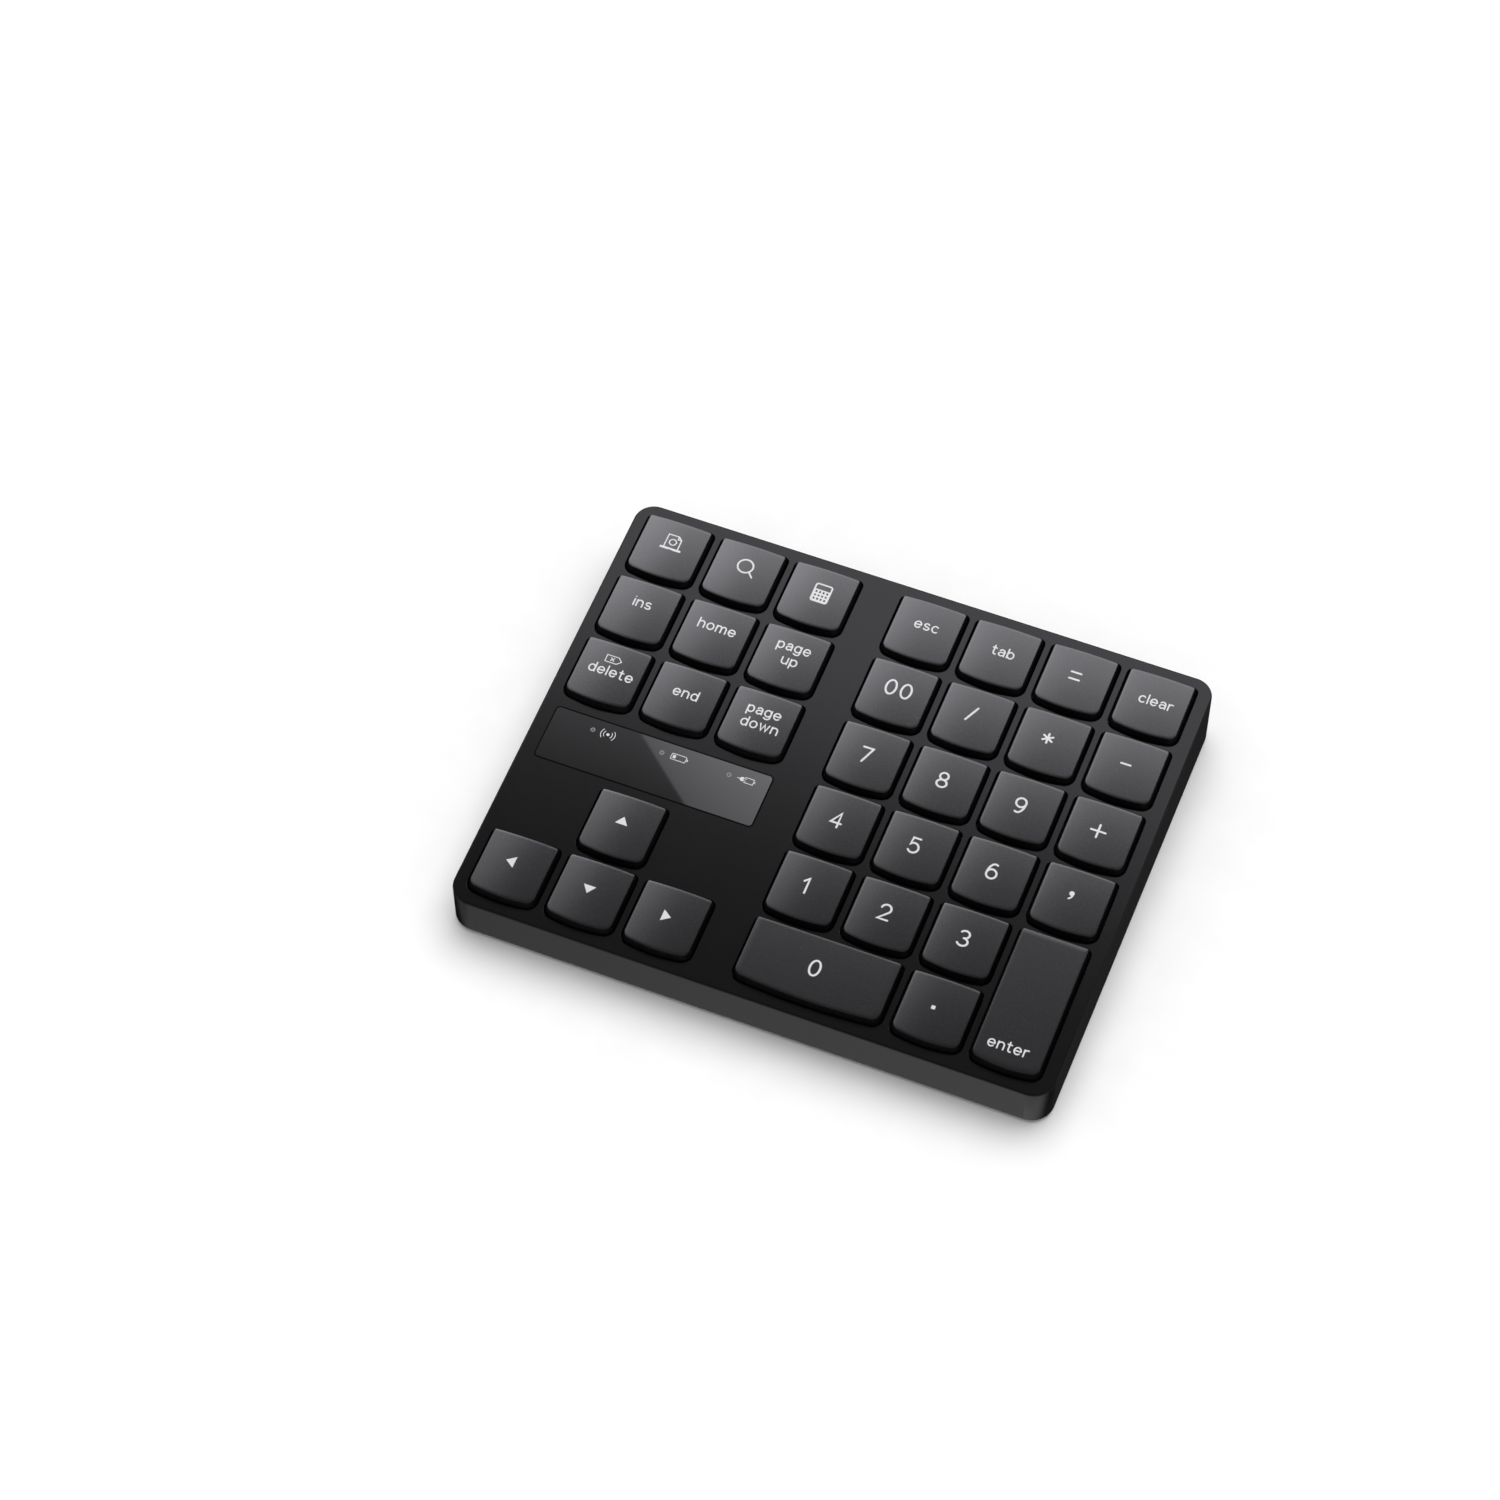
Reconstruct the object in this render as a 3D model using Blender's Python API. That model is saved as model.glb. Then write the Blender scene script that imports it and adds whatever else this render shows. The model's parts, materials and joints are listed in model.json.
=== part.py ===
"""Wireless numeric keypad: 35 sprung keys in a wedge-shaped case.

Most pieces are laid out in the frame of the sloping deck: x to the right, y to the rear, z square to
the deck, with its origin in the middle of the deck surface. The empty called deck carries that frame.
In the world, +Z is up, +Y is the rear, and the rubber feet stand on z = 0.
"""

import math

import bmesh
import bpy
from mathutils import Vector

MM = 0.001

# Case. Heights are square to the deck, from its edge down to the case's bottom edge.
CASE_WIDTH = 146.0 * MM
CASE_DEPTH = 119.1 * MM
FRONT_HEIGHT = 11.8 * MM
REAR_HEIGHT = 17.5 * MM
WALL = 1.8 * MM
DECK_THICKNESS = 1.6 * MM
BOTTOM_THICKNESS = 1.6 * MM
FRONT_CORNER_RADIUS = 5.5 * MM
REAR_CORNER_RADIUS = 5.0 * MM
EDGE_CHAMFER = 0.5 * MM
GAP = 0.3 * MM

# How far one body of a Boolean reaches into the other, or past the face that it cuts.
OVERLAP = 0.2 * MM
PAST = 1.0 * MM

# Keys. A key's top face is KEY_WIDTH by KEY_DEPTH, and its front edge is an arc.
PITCH = 19.0 * MM
KEY_WIDTH = 15.8 * MM
KEY_DEPTH = 16.6 * MM
KEY_BOW = 1.0 * MM
KEY_FRONT_RADIUS = 1.9 * MM
KEY_REAR_RADIUS = 0.55 * MM
KEY_TOP = 2.0 * MM
KEY_TRAVEL = 1.8 * MM
SKIRT_FLARE = 0.5 * MM
SKIRT_BOTTOM = -1.9 * MM
SKIRT_SHOULDER = -0.1 * MM
SKIRT_WALL = 1.0 * MM
CEILING = 0.8 * MM
STEM_WIDTH = 4.6 * MM
STEM_BOTTOM = -5.4 * MM
OPENING_GAP = 0.3 * MM
OPENING_CUT_BOTTOM = -3.0 * MM

# Where the keys are: the middle of each column, and of the rearmost row.
LEFT_COLUMNS = [-61.2 * MM + i * PITCH for i in range(3)]
RIGHT_COLUMNS = [3.8 * MM + i * PITCH for i in range(4)]
REAR_ROW = 47.4 * MM

# Layers under the deck, as (lowest, highest) square to the deck.
GUIDE_LAYER = (-5.0 * MM, -4.0 * MM)
DOME_LAYER = (-8.6 * MM, -8.2 * MM)
MEMBRANE_LAYER = (-9.15 * MM, -8.85 * MM)
PLATE_LAYER = (-10.0 * MM, -9.4 * MM)
BOARD_LAYER = (-7.9 * MM, -7.1 * MM)
STACK_BOTTOM = PLATE_LAYER[0] - GAP

DOME_TOP = -5.7 * MM
DOME_BASE_RADIUS = 4.0 * MM
DOME_TOP_RADIUS = 2.2 * MM
DOME_WALL = 0.8 * MM

# Status strip, flush in the deck, and the board under it.
STRIP_X = (-69.1 * MM, -14.7 * MM)
STRIP_Y = (-16.9 * MM, -2.3 * MM)
STRIP_THICKNESS = 0.9 * MM
STRIP_LEDGE = 1.0 * MM
STRIP_GAP = 0.12 * MM
STRIP_SEAT_GAP = 0.1 * MM
STRIP_CORNER_RADIUS = 1.0 * MM
LED_X = {"led_wireless": -58.9 * MM, "led_battery": -41.5 * MM, "led_charge": -24.7 * MM}
LED_Y = -5.5 * MM
LIGHT_POST_RADIUS = 1.1 * MM
BOARD_LEFT = -70.4 * MM
BOARD_RIGHT = -13.8 * MM
BOARD_REAR = -2.0 * MM
BOARD_STEP = -17.2 * MM
BOARD_FRONT = -36.5 * MM
BOARD_WING_RIGHT = -52.6 * MM
BOARD_CLEARANCE = 0.6 * MM
OUTWARDS = 3.0 * MM

# What stands on the board, clear of it by the thickness of the solder.
COMPONENTS = BOARD_LAYER[1] + 0.2 * MM
LED_LENGTH = 3.2 * MM
LED_WIDTH = 1.6 * MM
LED_HEIGHT = 1.0 * MM
RADIO_X = (-34.0 * MM, -20.0 * MM)
RADIO_Y = (-15.6 * MM, -8.0 * MM)
RADIO_HEIGHT = 1.8 * MM

# Charge socket and power switch, both through the left wall.
SOCKET_Y = -10.2 * MM
SOCKET_WIDTH = 8.9 * MM
SOCKET_HEIGHT = 3.2 * MM
SOCKET_LENGTH = 7.3 * MM
SOCKET_SHEET = 0.3 * MM
SOCKET_SETBACK = 0.3 * MM
SOCKET_BACK = 1.0 * MM
TONGUE_WIDTH = 6.6 * MM
TONGUE_THICKNESS = 0.7 * MM
TONGUE_SETBACK = 0.8 * MM
SWITCH_Y = -27.0 * MM
SWITCH_Z = COMPONENTS + 1.8 * MM
SWITCH_TRAVEL = 2.5 * MM
SWITCH_SLOT_LENGTH = SWITCH_TRAVEL + 3.2 * MM
SWITCH_SLOT_HEIGHT = 2.6 * MM
SWITCH_BODY = (3.4 * MM, 9.0 * MM, 3.6 * MM)
SWITCH_BACK = 1.0 * MM
TRACK_LENGTH = SWITCH_TRAVEL + 2.6 * MM
TRACK_HEIGHT = 2.2 * MM
KNOB_LENGTH = 2.0 * MM
KNOB_HEIGHT = 1.6 * MM
KNOB_SETBACK = 0.1 * MM

# Screws up through the middle of the case, in the bare stretch of deck between the two key blocks.
SCREW_X = -9.5 * MM
SCREW_Y = {"case_screw_rear": 34.0 * MM, "case_screw_front": -36.0 * MM}
SCREW_RADIUS = 1.0 * MM
SCREW_HEAD_RADIUS = 2.0 * MM
SCREW_HEAD_HEIGHT = 0.8 * MM
BOSS_RADIUS = 2.3 * MM
BOSS_BOTTOM = -8.0 * MM
PILOT_TOP = -DECK_THICKNESS - 0.3 * MM
SCREW_LENGTH_IN_BOSS = 3.5 * MM

FOOT_RADIUS = 5.0 * MM
FOOT_HEIGHT = 1.0 * MM
FOOT_RECESS = 0.8 * MM
FOOT_INSET = 15.0 * MM
FOOT_CHAMFER = 0.4 * MM

BATTERY_X = (-64.0 * MM, -14.5 * MM)
BATTERY_Y = (22.0 * MM, 53.5 * MM)
BATTERY_THICKNESS = 3.3 * MM
BATTERY_CORNER = 1.5 * MM
LEAD_RADIUS = 0.7 * MM
LEAD_X = BATTERY_X[0] - 4.4 * MM
LEAD_START_X = BATTERY_X[0] + 4.0 * MM
LEAD_TURN_Y = 6.0 * MM
LEAD_UP_Y = BOARD_REAR + 2.6 * MM
LEAD_END_Y = BOARD_REAR - 1.2 * MM
LEAD_END_Z = BOARD_LAYER[1] + 1.4 * MM

# Ribs on the bottom that hold up the layers, as (x, front end, rear end).
RIB_WIDTH = 1.2 * MM
RIB_ROOT = 0.8 * MM
RIB_REAR = 55.0 * MM
RIB_PLACES = [
    (BATTERY_X[0] - 1.6 * MM, 8.0 * MM, RIB_REAR),
    (BATTERY_X[1] + 1.6 * MM, 8.0 * MM, 30.0 * MM),
    (20.0 * MM, -30.0 * MM, RIB_REAR),
    (50.0 * MM, -30.0 * MM, RIB_REAR),
]

# Stabilizer bars, the eyes in the long keycaps that they turn in, and the clips that hold them down.
BAR_RADIUS = 0.5 * MM
BAR_AXIS_Z = -3.1 * MM
BAR_TIP_Z = -0.7 * MM
BAR_ARM = 7.0 * MM
BAR_HALF = 12.5 * MM
BAR_OFFSET = 5.0 * MM
BAR_TIP_LENGTH = 2.2 * MM
BAR_BEND = 0.8 * MM
EYE_PLACE = BAR_HALF + 1.3 * MM
EYE_THICKNESS = 0.8 * MM
EYE_WIDTH = 3.4 * MM
EYE_BELOW_TIP = 1.1 * MM
EYE_SLOT_WIDTH = 2.0 * MM
EYE_SLOT_HALF_HEIGHT = 0.8 * MM
CLIP_PLACE = 8.0 * MM
CLIP_LENGTH = 2.0 * MM
CLIP_THICKNESS = 0.8 * MM
CLIP_ABOVE_AXIS = 0.6 * MM

SLOPE = (REAR_HEIGHT - FRONT_HEIGHT) / CASE_DEPTH
TILT = math.atan(SLOPE)
MIDDLE_HEIGHT = (FRONT_HEIGHT + REAR_HEIGHT) / 2


# ---------------------------------------------------------------- materials and helpers


def material(name, colour, roughness, metallic=0.0):
    """A named Principled material, made once."""
    found = bpy.data.materials.get(name)
    if found:
        return found
    made = bpy.data.materials.new(name)
    made.use_nodes = True
    shader = made.node_tree.nodes["Principled BSDF"]
    shader.inputs["Base Color"].default_value = (*colour, 1.0)
    shader.inputs["Roughness"].default_value = roughness
    shader.inputs["Metallic"].default_value = metallic
    made.diffuse_color = (*colour, 1.0)
    return made


def case_plastic():
    return material("case_plastic", (0.035, 0.035, 0.037), 0.5)


def key_plastic():
    return material("key_plastic", (0.09, 0.09, 0.095), 0.45)


def inner_plastic():
    return material("inner_plastic", (0.16, 0.16, 0.17), 0.6)


def steel():
    return material("steel", (0.6, 0.6, 0.62), 0.35, 1.0)


def arc(cx, cy, radius, start, end, steps):
    """Points along a circular arc, angles in radians from +x."""
    turn = (end - start) / steps
    return [
        (cx + radius * math.cos(start + turn * i), cy + radius * math.sin(start + turn * i))
        for i in range(steps + 1)
    ]


def rounded_box_outline(x_range, y_range, front_radius, rear_radius, steps=4):
    """A rectangle with round corners, counterclockwise from the front left."""
    (x0, x1), (y0, y1) = x_range, y_range
    half, full = math.pi / 2, math.pi
    return (
        arc(x0 + front_radius, y0 + front_radius, front_radius, full, full + half, steps)
        + arc(x1 - front_radius, y0 + front_radius, front_radius, -half, 0, steps)
        + arc(x1 - rear_radius, y1 - rear_radius, rear_radius, 0, half, steps)
        + arc(x0 + rear_radius, y1 - rear_radius, rear_radius, half, full, steps)
    )


def rectangle(x_range, y_range):
    (x0, x1), (y0, y1) = x_range, y_range
    return [(x0, y0), (x1, y0), (x1, y1), (x0, y1)]


def circle(cx, cy, radius, steps):
    return arc(cx, cy, radius, 0, 2 * math.pi * (steps - 1) / steps, steps - 1)


def case_outline(inset):
    x, y = CASE_WIDTH / 2 - inset, CASE_DEPTH / 2 - inset
    return rounded_box_outline(
        (-x, x), (-y, y), FRONT_CORNER_RADIUS - inset, REAR_CORNER_RADIUS - inset
    )


def key_outline(width, depth, grow=0.0):
    """A key seen from above: straight sides and rear edge, and a front edge that bows outwards."""
    half = width / 2 + grow
    front, rear = -depth / 2 - grow, depth / 2 + grow
    front_radius, rear_radius = KEY_FRONT_RADIUS + grow, KEY_REAR_RADIUS + grow
    bow_radius = (half**2 + KEY_BOW**2) / (2 * KEY_BOW)
    bow_centre = front + bow_radius
    corner_x = half - front_radius
    corner_y = bow_centre - math.sqrt((bow_radius - front_radius) ** 2 - corner_x**2)
    lean = math.atan2(corner_x, bow_centre - corner_y)
    down, quarter = -math.pi / 2, math.pi / 2
    front_arc = arc(0, bow_centre, bow_radius, down - lean, down + lean, 4)
    right_corner = arc(corner_x, corner_y, front_radius, down + lean, 0, 2)[1:]
    left_corner = arc(-corner_x, corner_y, front_radius, math.pi, 3 * quarter - lean, 2)[:-1]
    rear_x, rear_y = half - rear_radius, rear - rear_radius
    return (
        front_arc
        + right_corner
        + arc(rear_x, rear_y, rear_radius, 0, quarter, 2)
        + arc(-rear_x, rear_y, rear_radius, quarter, math.pi, 2)
        + left_corner
    )


def height_at(level, y):
    return level(y) if callable(level) else level


def floor_level(y):
    """The case's bottom plane in the deck's frame."""
    return -MIDDLE_HEIGHT - SLOPE * y


def above_floor(height):
    return lambda y: floor_level(y) + height


def new_object(name, mesh, parent=None, finish=None):
    made = bpy.data.objects.new(name, mesh)
    bpy.context.scene.collection.objects.link(made)
    if parent:
        made.parent = parent
    if finish and not mesh.materials:
        mesh.materials.append(finish)
    return made


def loft_into(bm, rings):
    """Adds one closed body through rings of equal length, the lowest ring first."""
    loops = [[bm.verts.new(point) for point in ring] for ring in rings]
    count = len(loops[0])
    bm.faces.new(reversed(loops[0]))
    for low, high in zip(loops, loops[1:]):
        for i in range(count):
            j = (i + 1) % count
            bm.faces.new((low[i], low[j], high[j], high[i]))
    bm.faces.new(loops[-1])


def ring(outline, level):
    return [(x, y, height_at(level, y)) for x, y in outline]


def moved(outline, x, y):
    return [(px + x, py + y) for px, py in outline]


def mesh_of(name, bodies):
    """A mesh of closed bodies, each a list of rings."""
    bm = bmesh.new()
    for rings in bodies:
        loft_into(bm, rings)
    mesh = bpy.data.meshes.new(name)
    bm.to_mesh(mesh)
    bm.free()
    return mesh


def prism(outline, low, high):
    """The rings of an upright body between two levels, each a number or a function of y."""
    return [ring(outline, low), ring(outline, high)]


def box(x_range, y_range, z_range):
    return prism(rectangle(x_range, y_range), *z_range)


def around(middle, size):
    return (middle - size / 2, middle + size / 2)


def helper(name, bodies, parent=None):
    """A hidden object for a Boolean."""
    made = new_object(name, mesh_of(name, bodies), parent)
    made.hide_render = True
    made.display_type = "WIRE"
    return made


def boolean(target, operation, other):
    modifier = target.modifiers.new(operation.lower(), "BOOLEAN")
    modifier.operation = operation
    modifier.object = other
    modifier.solver = "EXACT"


def cut(target, name, bodies, parent=None):
    boolean(target, "DIFFERENCE", helper(name, bodies, parent or target.parent))


def join(target, name, bodies, parent=None):
    boolean(target, "UNION", helper(name, bodies, parent or target.parent))


def solid(name, bodies, parent, finish):
    return new_object(name, mesh_of(name, bodies), parent, finish)


def smooth(target):
    target.data.shade_smooth()
    target.data.set_sharp_from_angle(angle=math.radians(35))


# ---------------------------------------------------------------- the keys


def key_layout():
    """Every key as (name, x, y, width in units, depth in units), x and y at its middle."""
    keys = []

    def row(columns, index, names):
        for x, name in zip(columns, names):
            if name:
                keys.append(("key_" + name, x, REAR_ROW - PITCH * index, 1, 1))

    row(LEFT_COLUMNS, 0, ["print_screen", "search", "calculator"])
    row(LEFT_COLUMNS, 1, ["insert", "home", "page_up"])
    row(LEFT_COLUMNS, 2, ["delete", "end", "page_down"])
    row(LEFT_COLUMNS, 4, [None, "arrow_up", None])
    row(LEFT_COLUMNS, 5, ["arrow_left", "arrow_down", "arrow_right"])
    row(RIGHT_COLUMNS, 0, ["escape", "tab", "equals", "clear"])
    row(RIGHT_COLUMNS, 1, ["double_zero", "divide", "multiply", "minus"])
    row(RIGHT_COLUMNS, 2, ["7", "8", "9", "plus"])
    row(RIGHT_COLUMNS, 3, ["4", "5", "6", "comma"])
    row(RIGHT_COLUMNS, 4, ["1", "2", "3", None])
    row(RIGHT_COLUMNS, 5, [None, None, "decimal", None])
    keys.append(("key_0", (RIGHT_COLUMNS[0] + RIGHT_COLUMNS[1]) / 2, REAR_ROW - PITCH * 5, 2, 1))
    keys.append(("key_enter", RIGHT_COLUMNS[3], REAR_ROW - PITCH * 4.5, 1, 2))
    return keys


def key_size(units_wide, units_deep):
    return KEY_WIDTH + PITCH * (units_wide - 1), KEY_DEPTH + PITCH * (units_deep - 1)


def keycap_mesh(name, units_wide, units_deep):
    """A hollow cap with its guide stem. A long cap also has two eyes for its stabilizer bar."""
    width, depth = key_size(units_wide, units_deep)
    wide = key_outline(width, depth, SKIRT_FLARE)
    rings = [ring(wide, SKIRT_BOTTOM), ring(wide, SKIRT_SHOULDER), ring(key_outline(width, depth), KEY_TOP)]
    cap = new_object(name + "_shape", mesh_of(name, [rings]))
    hollow_x = width / 2 + SKIRT_FLARE - SKIRT_WALL
    hollow_rear = depth / 2 + SKIRT_FLARE - SKIRT_WALL
    hollow_front = -hollow_rear + KEY_BOW
    hollow_z = (SKIRT_BOTTOM - PAST, CEILING)
    cut(cap, name + "_hollow", [box((-hollow_x, hollow_x), (hollow_front, hollow_rear), hollow_z)])
    inside = CEILING + OVERLAP
    side = around(0, STEM_WIDTH)
    join(cap, name + "_stem", [box(side, side, (STEM_BOTTOM, inside))])
    if units_wide + units_deep > 2:
        add_eyes(cap, name, inside, units_deep > 1)
    graph = bpy.context.evaluated_depsgraph_get()
    mesh = bpy.data.meshes.new_from_object(cap.evaluated_get(graph))
    mesh.name = name
    for modifier in list(cap.modifiers):
        bpy.data.objects.remove(modifier.object)
    bpy.data.objects.remove(cap)
    return mesh


def turned(outline, lengthwise):
    """Swaps the axes of an outline made for a wide key, for one that is long from front to rear."""
    return [(-y, x) for x, y in outline] if lengthwise else outline


def add_eyes(cap, name, inside, lengthwise):
    """The two eyes that the ends of the stabilizer bar turn in."""
    tip_y = BAR_ARM - BAR_OFFSET
    slot_low, slot_high = around(BAR_TIP_Z, 2 * EYE_SLOT_HALF_HEIGHT)
    eye_y = around(tip_y, EYE_WIDTH)
    slot_y = around(tip_y, EYE_SLOT_WIDTH)
    for side in (-1, 1):
        eye_x = around(side * EYE_PLACE, EYE_THICKNESS)
        through = around(side * EYE_PLACE, EYE_THICKNESS + 2 * OVERLAP)
        eye = turned(rectangle(eye_x, eye_y), lengthwise)
        slot = turned(rectangle(through, slot_y), lengthwise)
        tag = f"{name}_{'left' if side < 0 else 'right'}"
        join(cap, tag + "_eye", [prism(eye, BAR_TIP_Z - EYE_BELOW_TIP, inside)])
        cut(cap, tag + "_slot", [prism(slot, slot_low, slot_high)])


def make_keys(deck):
    """All keycaps. Caps of one size share their mesh."""
    meshes = {}
    for name, x, y, wide, deep in key_layout():
        if (wide, deep) not in meshes:
            meshes[wide, deep] = keycap_mesh(f"keycap_{wide}x{deep}", wide, deep)
        cap = new_object(name, meshes[wide, deep], deck, key_plastic())
        cap.location = (x, y, 0)


def bar_outline_point(along, across, lengthwise):
    return (-across, along) if lengthwise else (along, across)


def make_stabilizer_bar(name, deck, x, y, lengthwise):
    """A bent wire: a long axle on the guide plate and two arms whose ends carry the keycap."""
    tip = BAR_HALF + BAR_TIP_LENGTH
    rise = BAR_TIP_Z - BAR_AXIS_Z
    run = math.sqrt(BAR_ARM**2 - rise**2)
    corners = [
        (-tip, -BAR_OFFSET + run, BAR_TIP_Z),
        (-BAR_HALF, -BAR_OFFSET + run, BAR_TIP_Z),
        (-BAR_HALF, -BAR_OFFSET, BAR_AXIS_Z),
        (BAR_HALF, -BAR_OFFSET, BAR_AXIS_Z),
        (BAR_HALF, -BAR_OFFSET + run, BAR_TIP_Z),
        (tip, -BAR_OFFSET + run, BAR_TIP_Z),
    ]
    points = [(*bar_outline_point(a, b, lengthwise), c) for a, b, c in corners]
    made = wire(name, points, BAR_RADIUS, deck, steel(), corner=BAR_BEND)
    made.location = (x, y, 0)
    return made


def bevelled_corners(points, radius):
    """Each inner corner of a path as two points, set back from it by radius."""
    path = [Vector(points[0])]
    for before, corner, after in zip(points, points[1:], points[2:]):
        corner = Vector(corner)
        path.append(corner + (Vector(before) - corner).normalized() * radius)
        path.append(corner + (Vector(after) - corner).normalized() * radius)
    path.append(Vector(points[-1]))
    return path


def wire(name, points, radius, parent, finish, corner):
    """A round wire along straight runs with cut corners."""
    curve = bpy.data.curves.new(name, "CURVE")
    curve.dimensions = "3D"
    curve.bevel_depth = radius
    curve.bevel_resolution = 1
    curve.use_fill_caps = True
    path = bevelled_corners(points, corner)
    spline = curve.splines.new("POLY")
    spline.points.add(len(path) - 1)
    for target, point in zip(spline.points, path):
        target.co = (*point, 1.0)
    curve.materials.append(finish)
    made = bpy.data.objects.new(name, curve)
    bpy.context.scene.collection.objects.link(made)
    made.parent = parent
    return made


# ---------------------------------------------------------------- the case


def opening_bodies(low, high):
    """A cutter for each key's opening in the deck."""
    bodies = []
    for _name, x, y, wide, deep in key_layout():
        outline = key_outline(*key_size(wide, deep), SKIRT_FLARE + OPENING_GAP)
        bodies.append(prism(moved(outline, x, y), low, high))
    return bodies


def strip_outline(grow):
    x_range = (STRIP_X[0] - grow, STRIP_X[1] + grow)
    y_range = (STRIP_Y[0] - grow, STRIP_Y[1] + grow)
    return rounded_box_outline(x_range, y_range, STRIP_CORNER_RADIUS, STRIP_CORNER_RADIUS, 2)


def make_top_case(deck):
    outer, edge = case_outline(0), case_outline(EDGE_CHAMFER)
    case = solid("top_case", [[ring(outer, floor_level), ring(outer, -EDGE_CHAMFER), ring(edge, 0)]],
                 deck, case_plastic())
    cut(case, "case_hollow", [prism(case_outline(WALL), above_floor(-PAST), -DECK_THICKNESS)])
    cut(case, "key_openings", opening_bodies(OPENING_CUT_BOTTOM, PAST))
    cut(case, "strip_recess", [prism(strip_outline(STRIP_GAP), -STRIP_THICKNESS - STRIP_SEAT_GAP, PAST)])
    ledge = rectangle(*[(r[0] + STRIP_LEDGE, r[1] - STRIP_LEDGE) for r in (STRIP_X, STRIP_Y)])
    cut(case, "strip_light_opening", [prism(ledge, OPENING_CUT_BOTTOM, 0)])
    join(case, "screw_bosses",
         [prism(circle(SCREW_X, y, BOSS_RADIUS, 12), BOSS_BOTTOM, -DECK_THICKNESS + OVERLAP)
          for y in SCREW_Y.values()])
    cut(case, "boss_pilot_holes",
        [prism(circle(SCREW_X, y, SCREW_RADIUS + GAP, 8), BOSS_BOTTOM - PAST, PILOT_TOP)
         for y in SCREW_Y.values()])
    wall_x = (-CASE_WIDTH / 2 - PAST, -CASE_WIDTH / 2 + WALL + PAST)
    socket_y = around(SOCKET_Y, SOCKET_WIDTH + 2 * GAP)
    socket_z = around(COMPONENTS + SOCKET_HEIGHT / 2, SOCKET_HEIGHT + 2 * GAP)
    slot_y = around(SWITCH_Y, SWITCH_SLOT_LENGTH)
    slot_z = around(SWITCH_Z, SWITCH_SLOT_HEIGHT)
    cut(case, "socket_mouth", [box(wall_x, socket_y, socket_z)])
    cut(case, "switch_slot", [box(wall_x, slot_y, slot_z)])
    smooth(case)


def make_bottom_case(deck):
    tray = solid("bottom_case",
                 [prism(case_outline(WALL + GAP), floor_level, above_floor(BOTTOM_THICKNESS))],
                 deck, case_plastic())
    for i, (x, front, rear) in enumerate(RIB_PLACES):
        rib = box(around(x, RIB_WIDTH), (front, rear), (above_floor(RIB_ROOT), STACK_BOTTOM))
        join(tray, f"rib_{i + 1}", [rib])
    for name, x, y in foot_places():
        cut(tray, name + "_recess", [ring_cylinder(x, y, FOOT_RADIUS + GAP, -PAST, FOOT_RECESS, 16)])
    for name, y in SCREW_Y.items():
        head = ring_cylinder(SCREW_X, y, SCREW_HEAD_RADIUS + GAP, -PAST, SCREW_HEAD_HEIGHT, 12)
        shank = ring_cylinder(SCREW_X, y, SCREW_RADIUS + GAP, 0, BOTTOM_THICKNESS + PAST, 8)
        cut(tray, name + "_head_hole", [head])
        cut(tray, name + "_hole", [shank])
    smooth(tray)


def ring_cylinder(x, y, radius, low, high, steps):
    """A cylinder between two heights above the case's bottom plane."""
    return prism(circle(x, y, radius, steps), above_floor(low), above_floor(high))


def foot_places():
    x, y = CASE_WIDTH / 2 - FOOT_INSET, CASE_DEPTH / 2 - FOOT_INSET
    return [("foot_front_left", -x, -y), ("foot_front_right", x, -y),
            ("foot_rear_left", -x, y), ("foot_rear_right", x, y)]


def make_feet(deck):
    rubber = material("rubber", (0.03, 0.03, 0.03), 0.85)
    for name, x, y in foot_places():
        lower = ring(circle(x, y, FOOT_RADIUS - FOOT_CHAMFER, 16), above_floor(-FOOT_HEIGHT))
        middle = ring(circle(x, y, FOOT_RADIUS, 16), above_floor(-FOOT_HEIGHT + FOOT_CHAMFER))
        upper = ring(circle(x, y, FOOT_RADIUS, 16), above_floor(FOOT_RECESS - GAP))
        smooth(solid(name, [[lower, middle, upper]], deck, rubber))


def make_screws(deck):
    """Countersunk into the bottom, with their shanks up in the bosses."""
    for name, y in SCREW_Y.items():
        rings = [
            ring(circle(SCREW_X, y, SCREW_HEAD_RADIUS, 12), above_floor(0)),
            ring(circle(SCREW_X, y, SCREW_HEAD_RADIUS, 12), above_floor(SCREW_HEAD_HEIGHT - GAP)),
            ring(circle(SCREW_X, y, SCREW_RADIUS, 12), above_floor(SCREW_HEAD_HEIGHT - GAP / 2)),
            ring(circle(SCREW_X, y, SCREW_RADIUS, 12), BOSS_BOTTOM + SCREW_LENGTH_IN_BOSS),
        ]
        smooth(solid(name, [rings], deck, steel()))


# ---------------------------------------------------------------- the layers inside


def notch_for_board(margin):
    """The L-shaped opening that the board and what is on it need, out past the left wall."""
    left = BOARD_LEFT - OUTWARDS
    return [
        (left, BOARD_FRONT - margin),
        (BOARD_WING_RIGHT + margin, BOARD_FRONT - margin),
        (BOARD_WING_RIGHT + margin, BOARD_STEP - margin),
        (BOARD_RIGHT + margin, BOARD_STEP - margin),
        (BOARD_RIGHT + margin, BOARD_REAR + margin),
        (left, BOARD_REAR + margin),
    ]


def boss_holes(layer):
    low, high = layer[0] - PAST, layer[1] + PAST
    return [prism(circle(SCREW_X, y, BOSS_RADIUS + GAP, 12), low, high) for y in SCREW_Y.values()]


def lead_notch(layer):
    """The opening by the left wall that the battery's lead comes up through."""
    x_range = (BOARD_LEFT - OUTWARDS, LEAD_X + LEAD_RADIUS + 0.5 * MM)
    y_range = (BOARD_REAR + BOARD_CLEARANCE, LEAD_UP_Y + 2.4 * MM)
    return [box(x_range, y_range, (layer[0] - PAST, layer[1] + PAST))]


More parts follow.
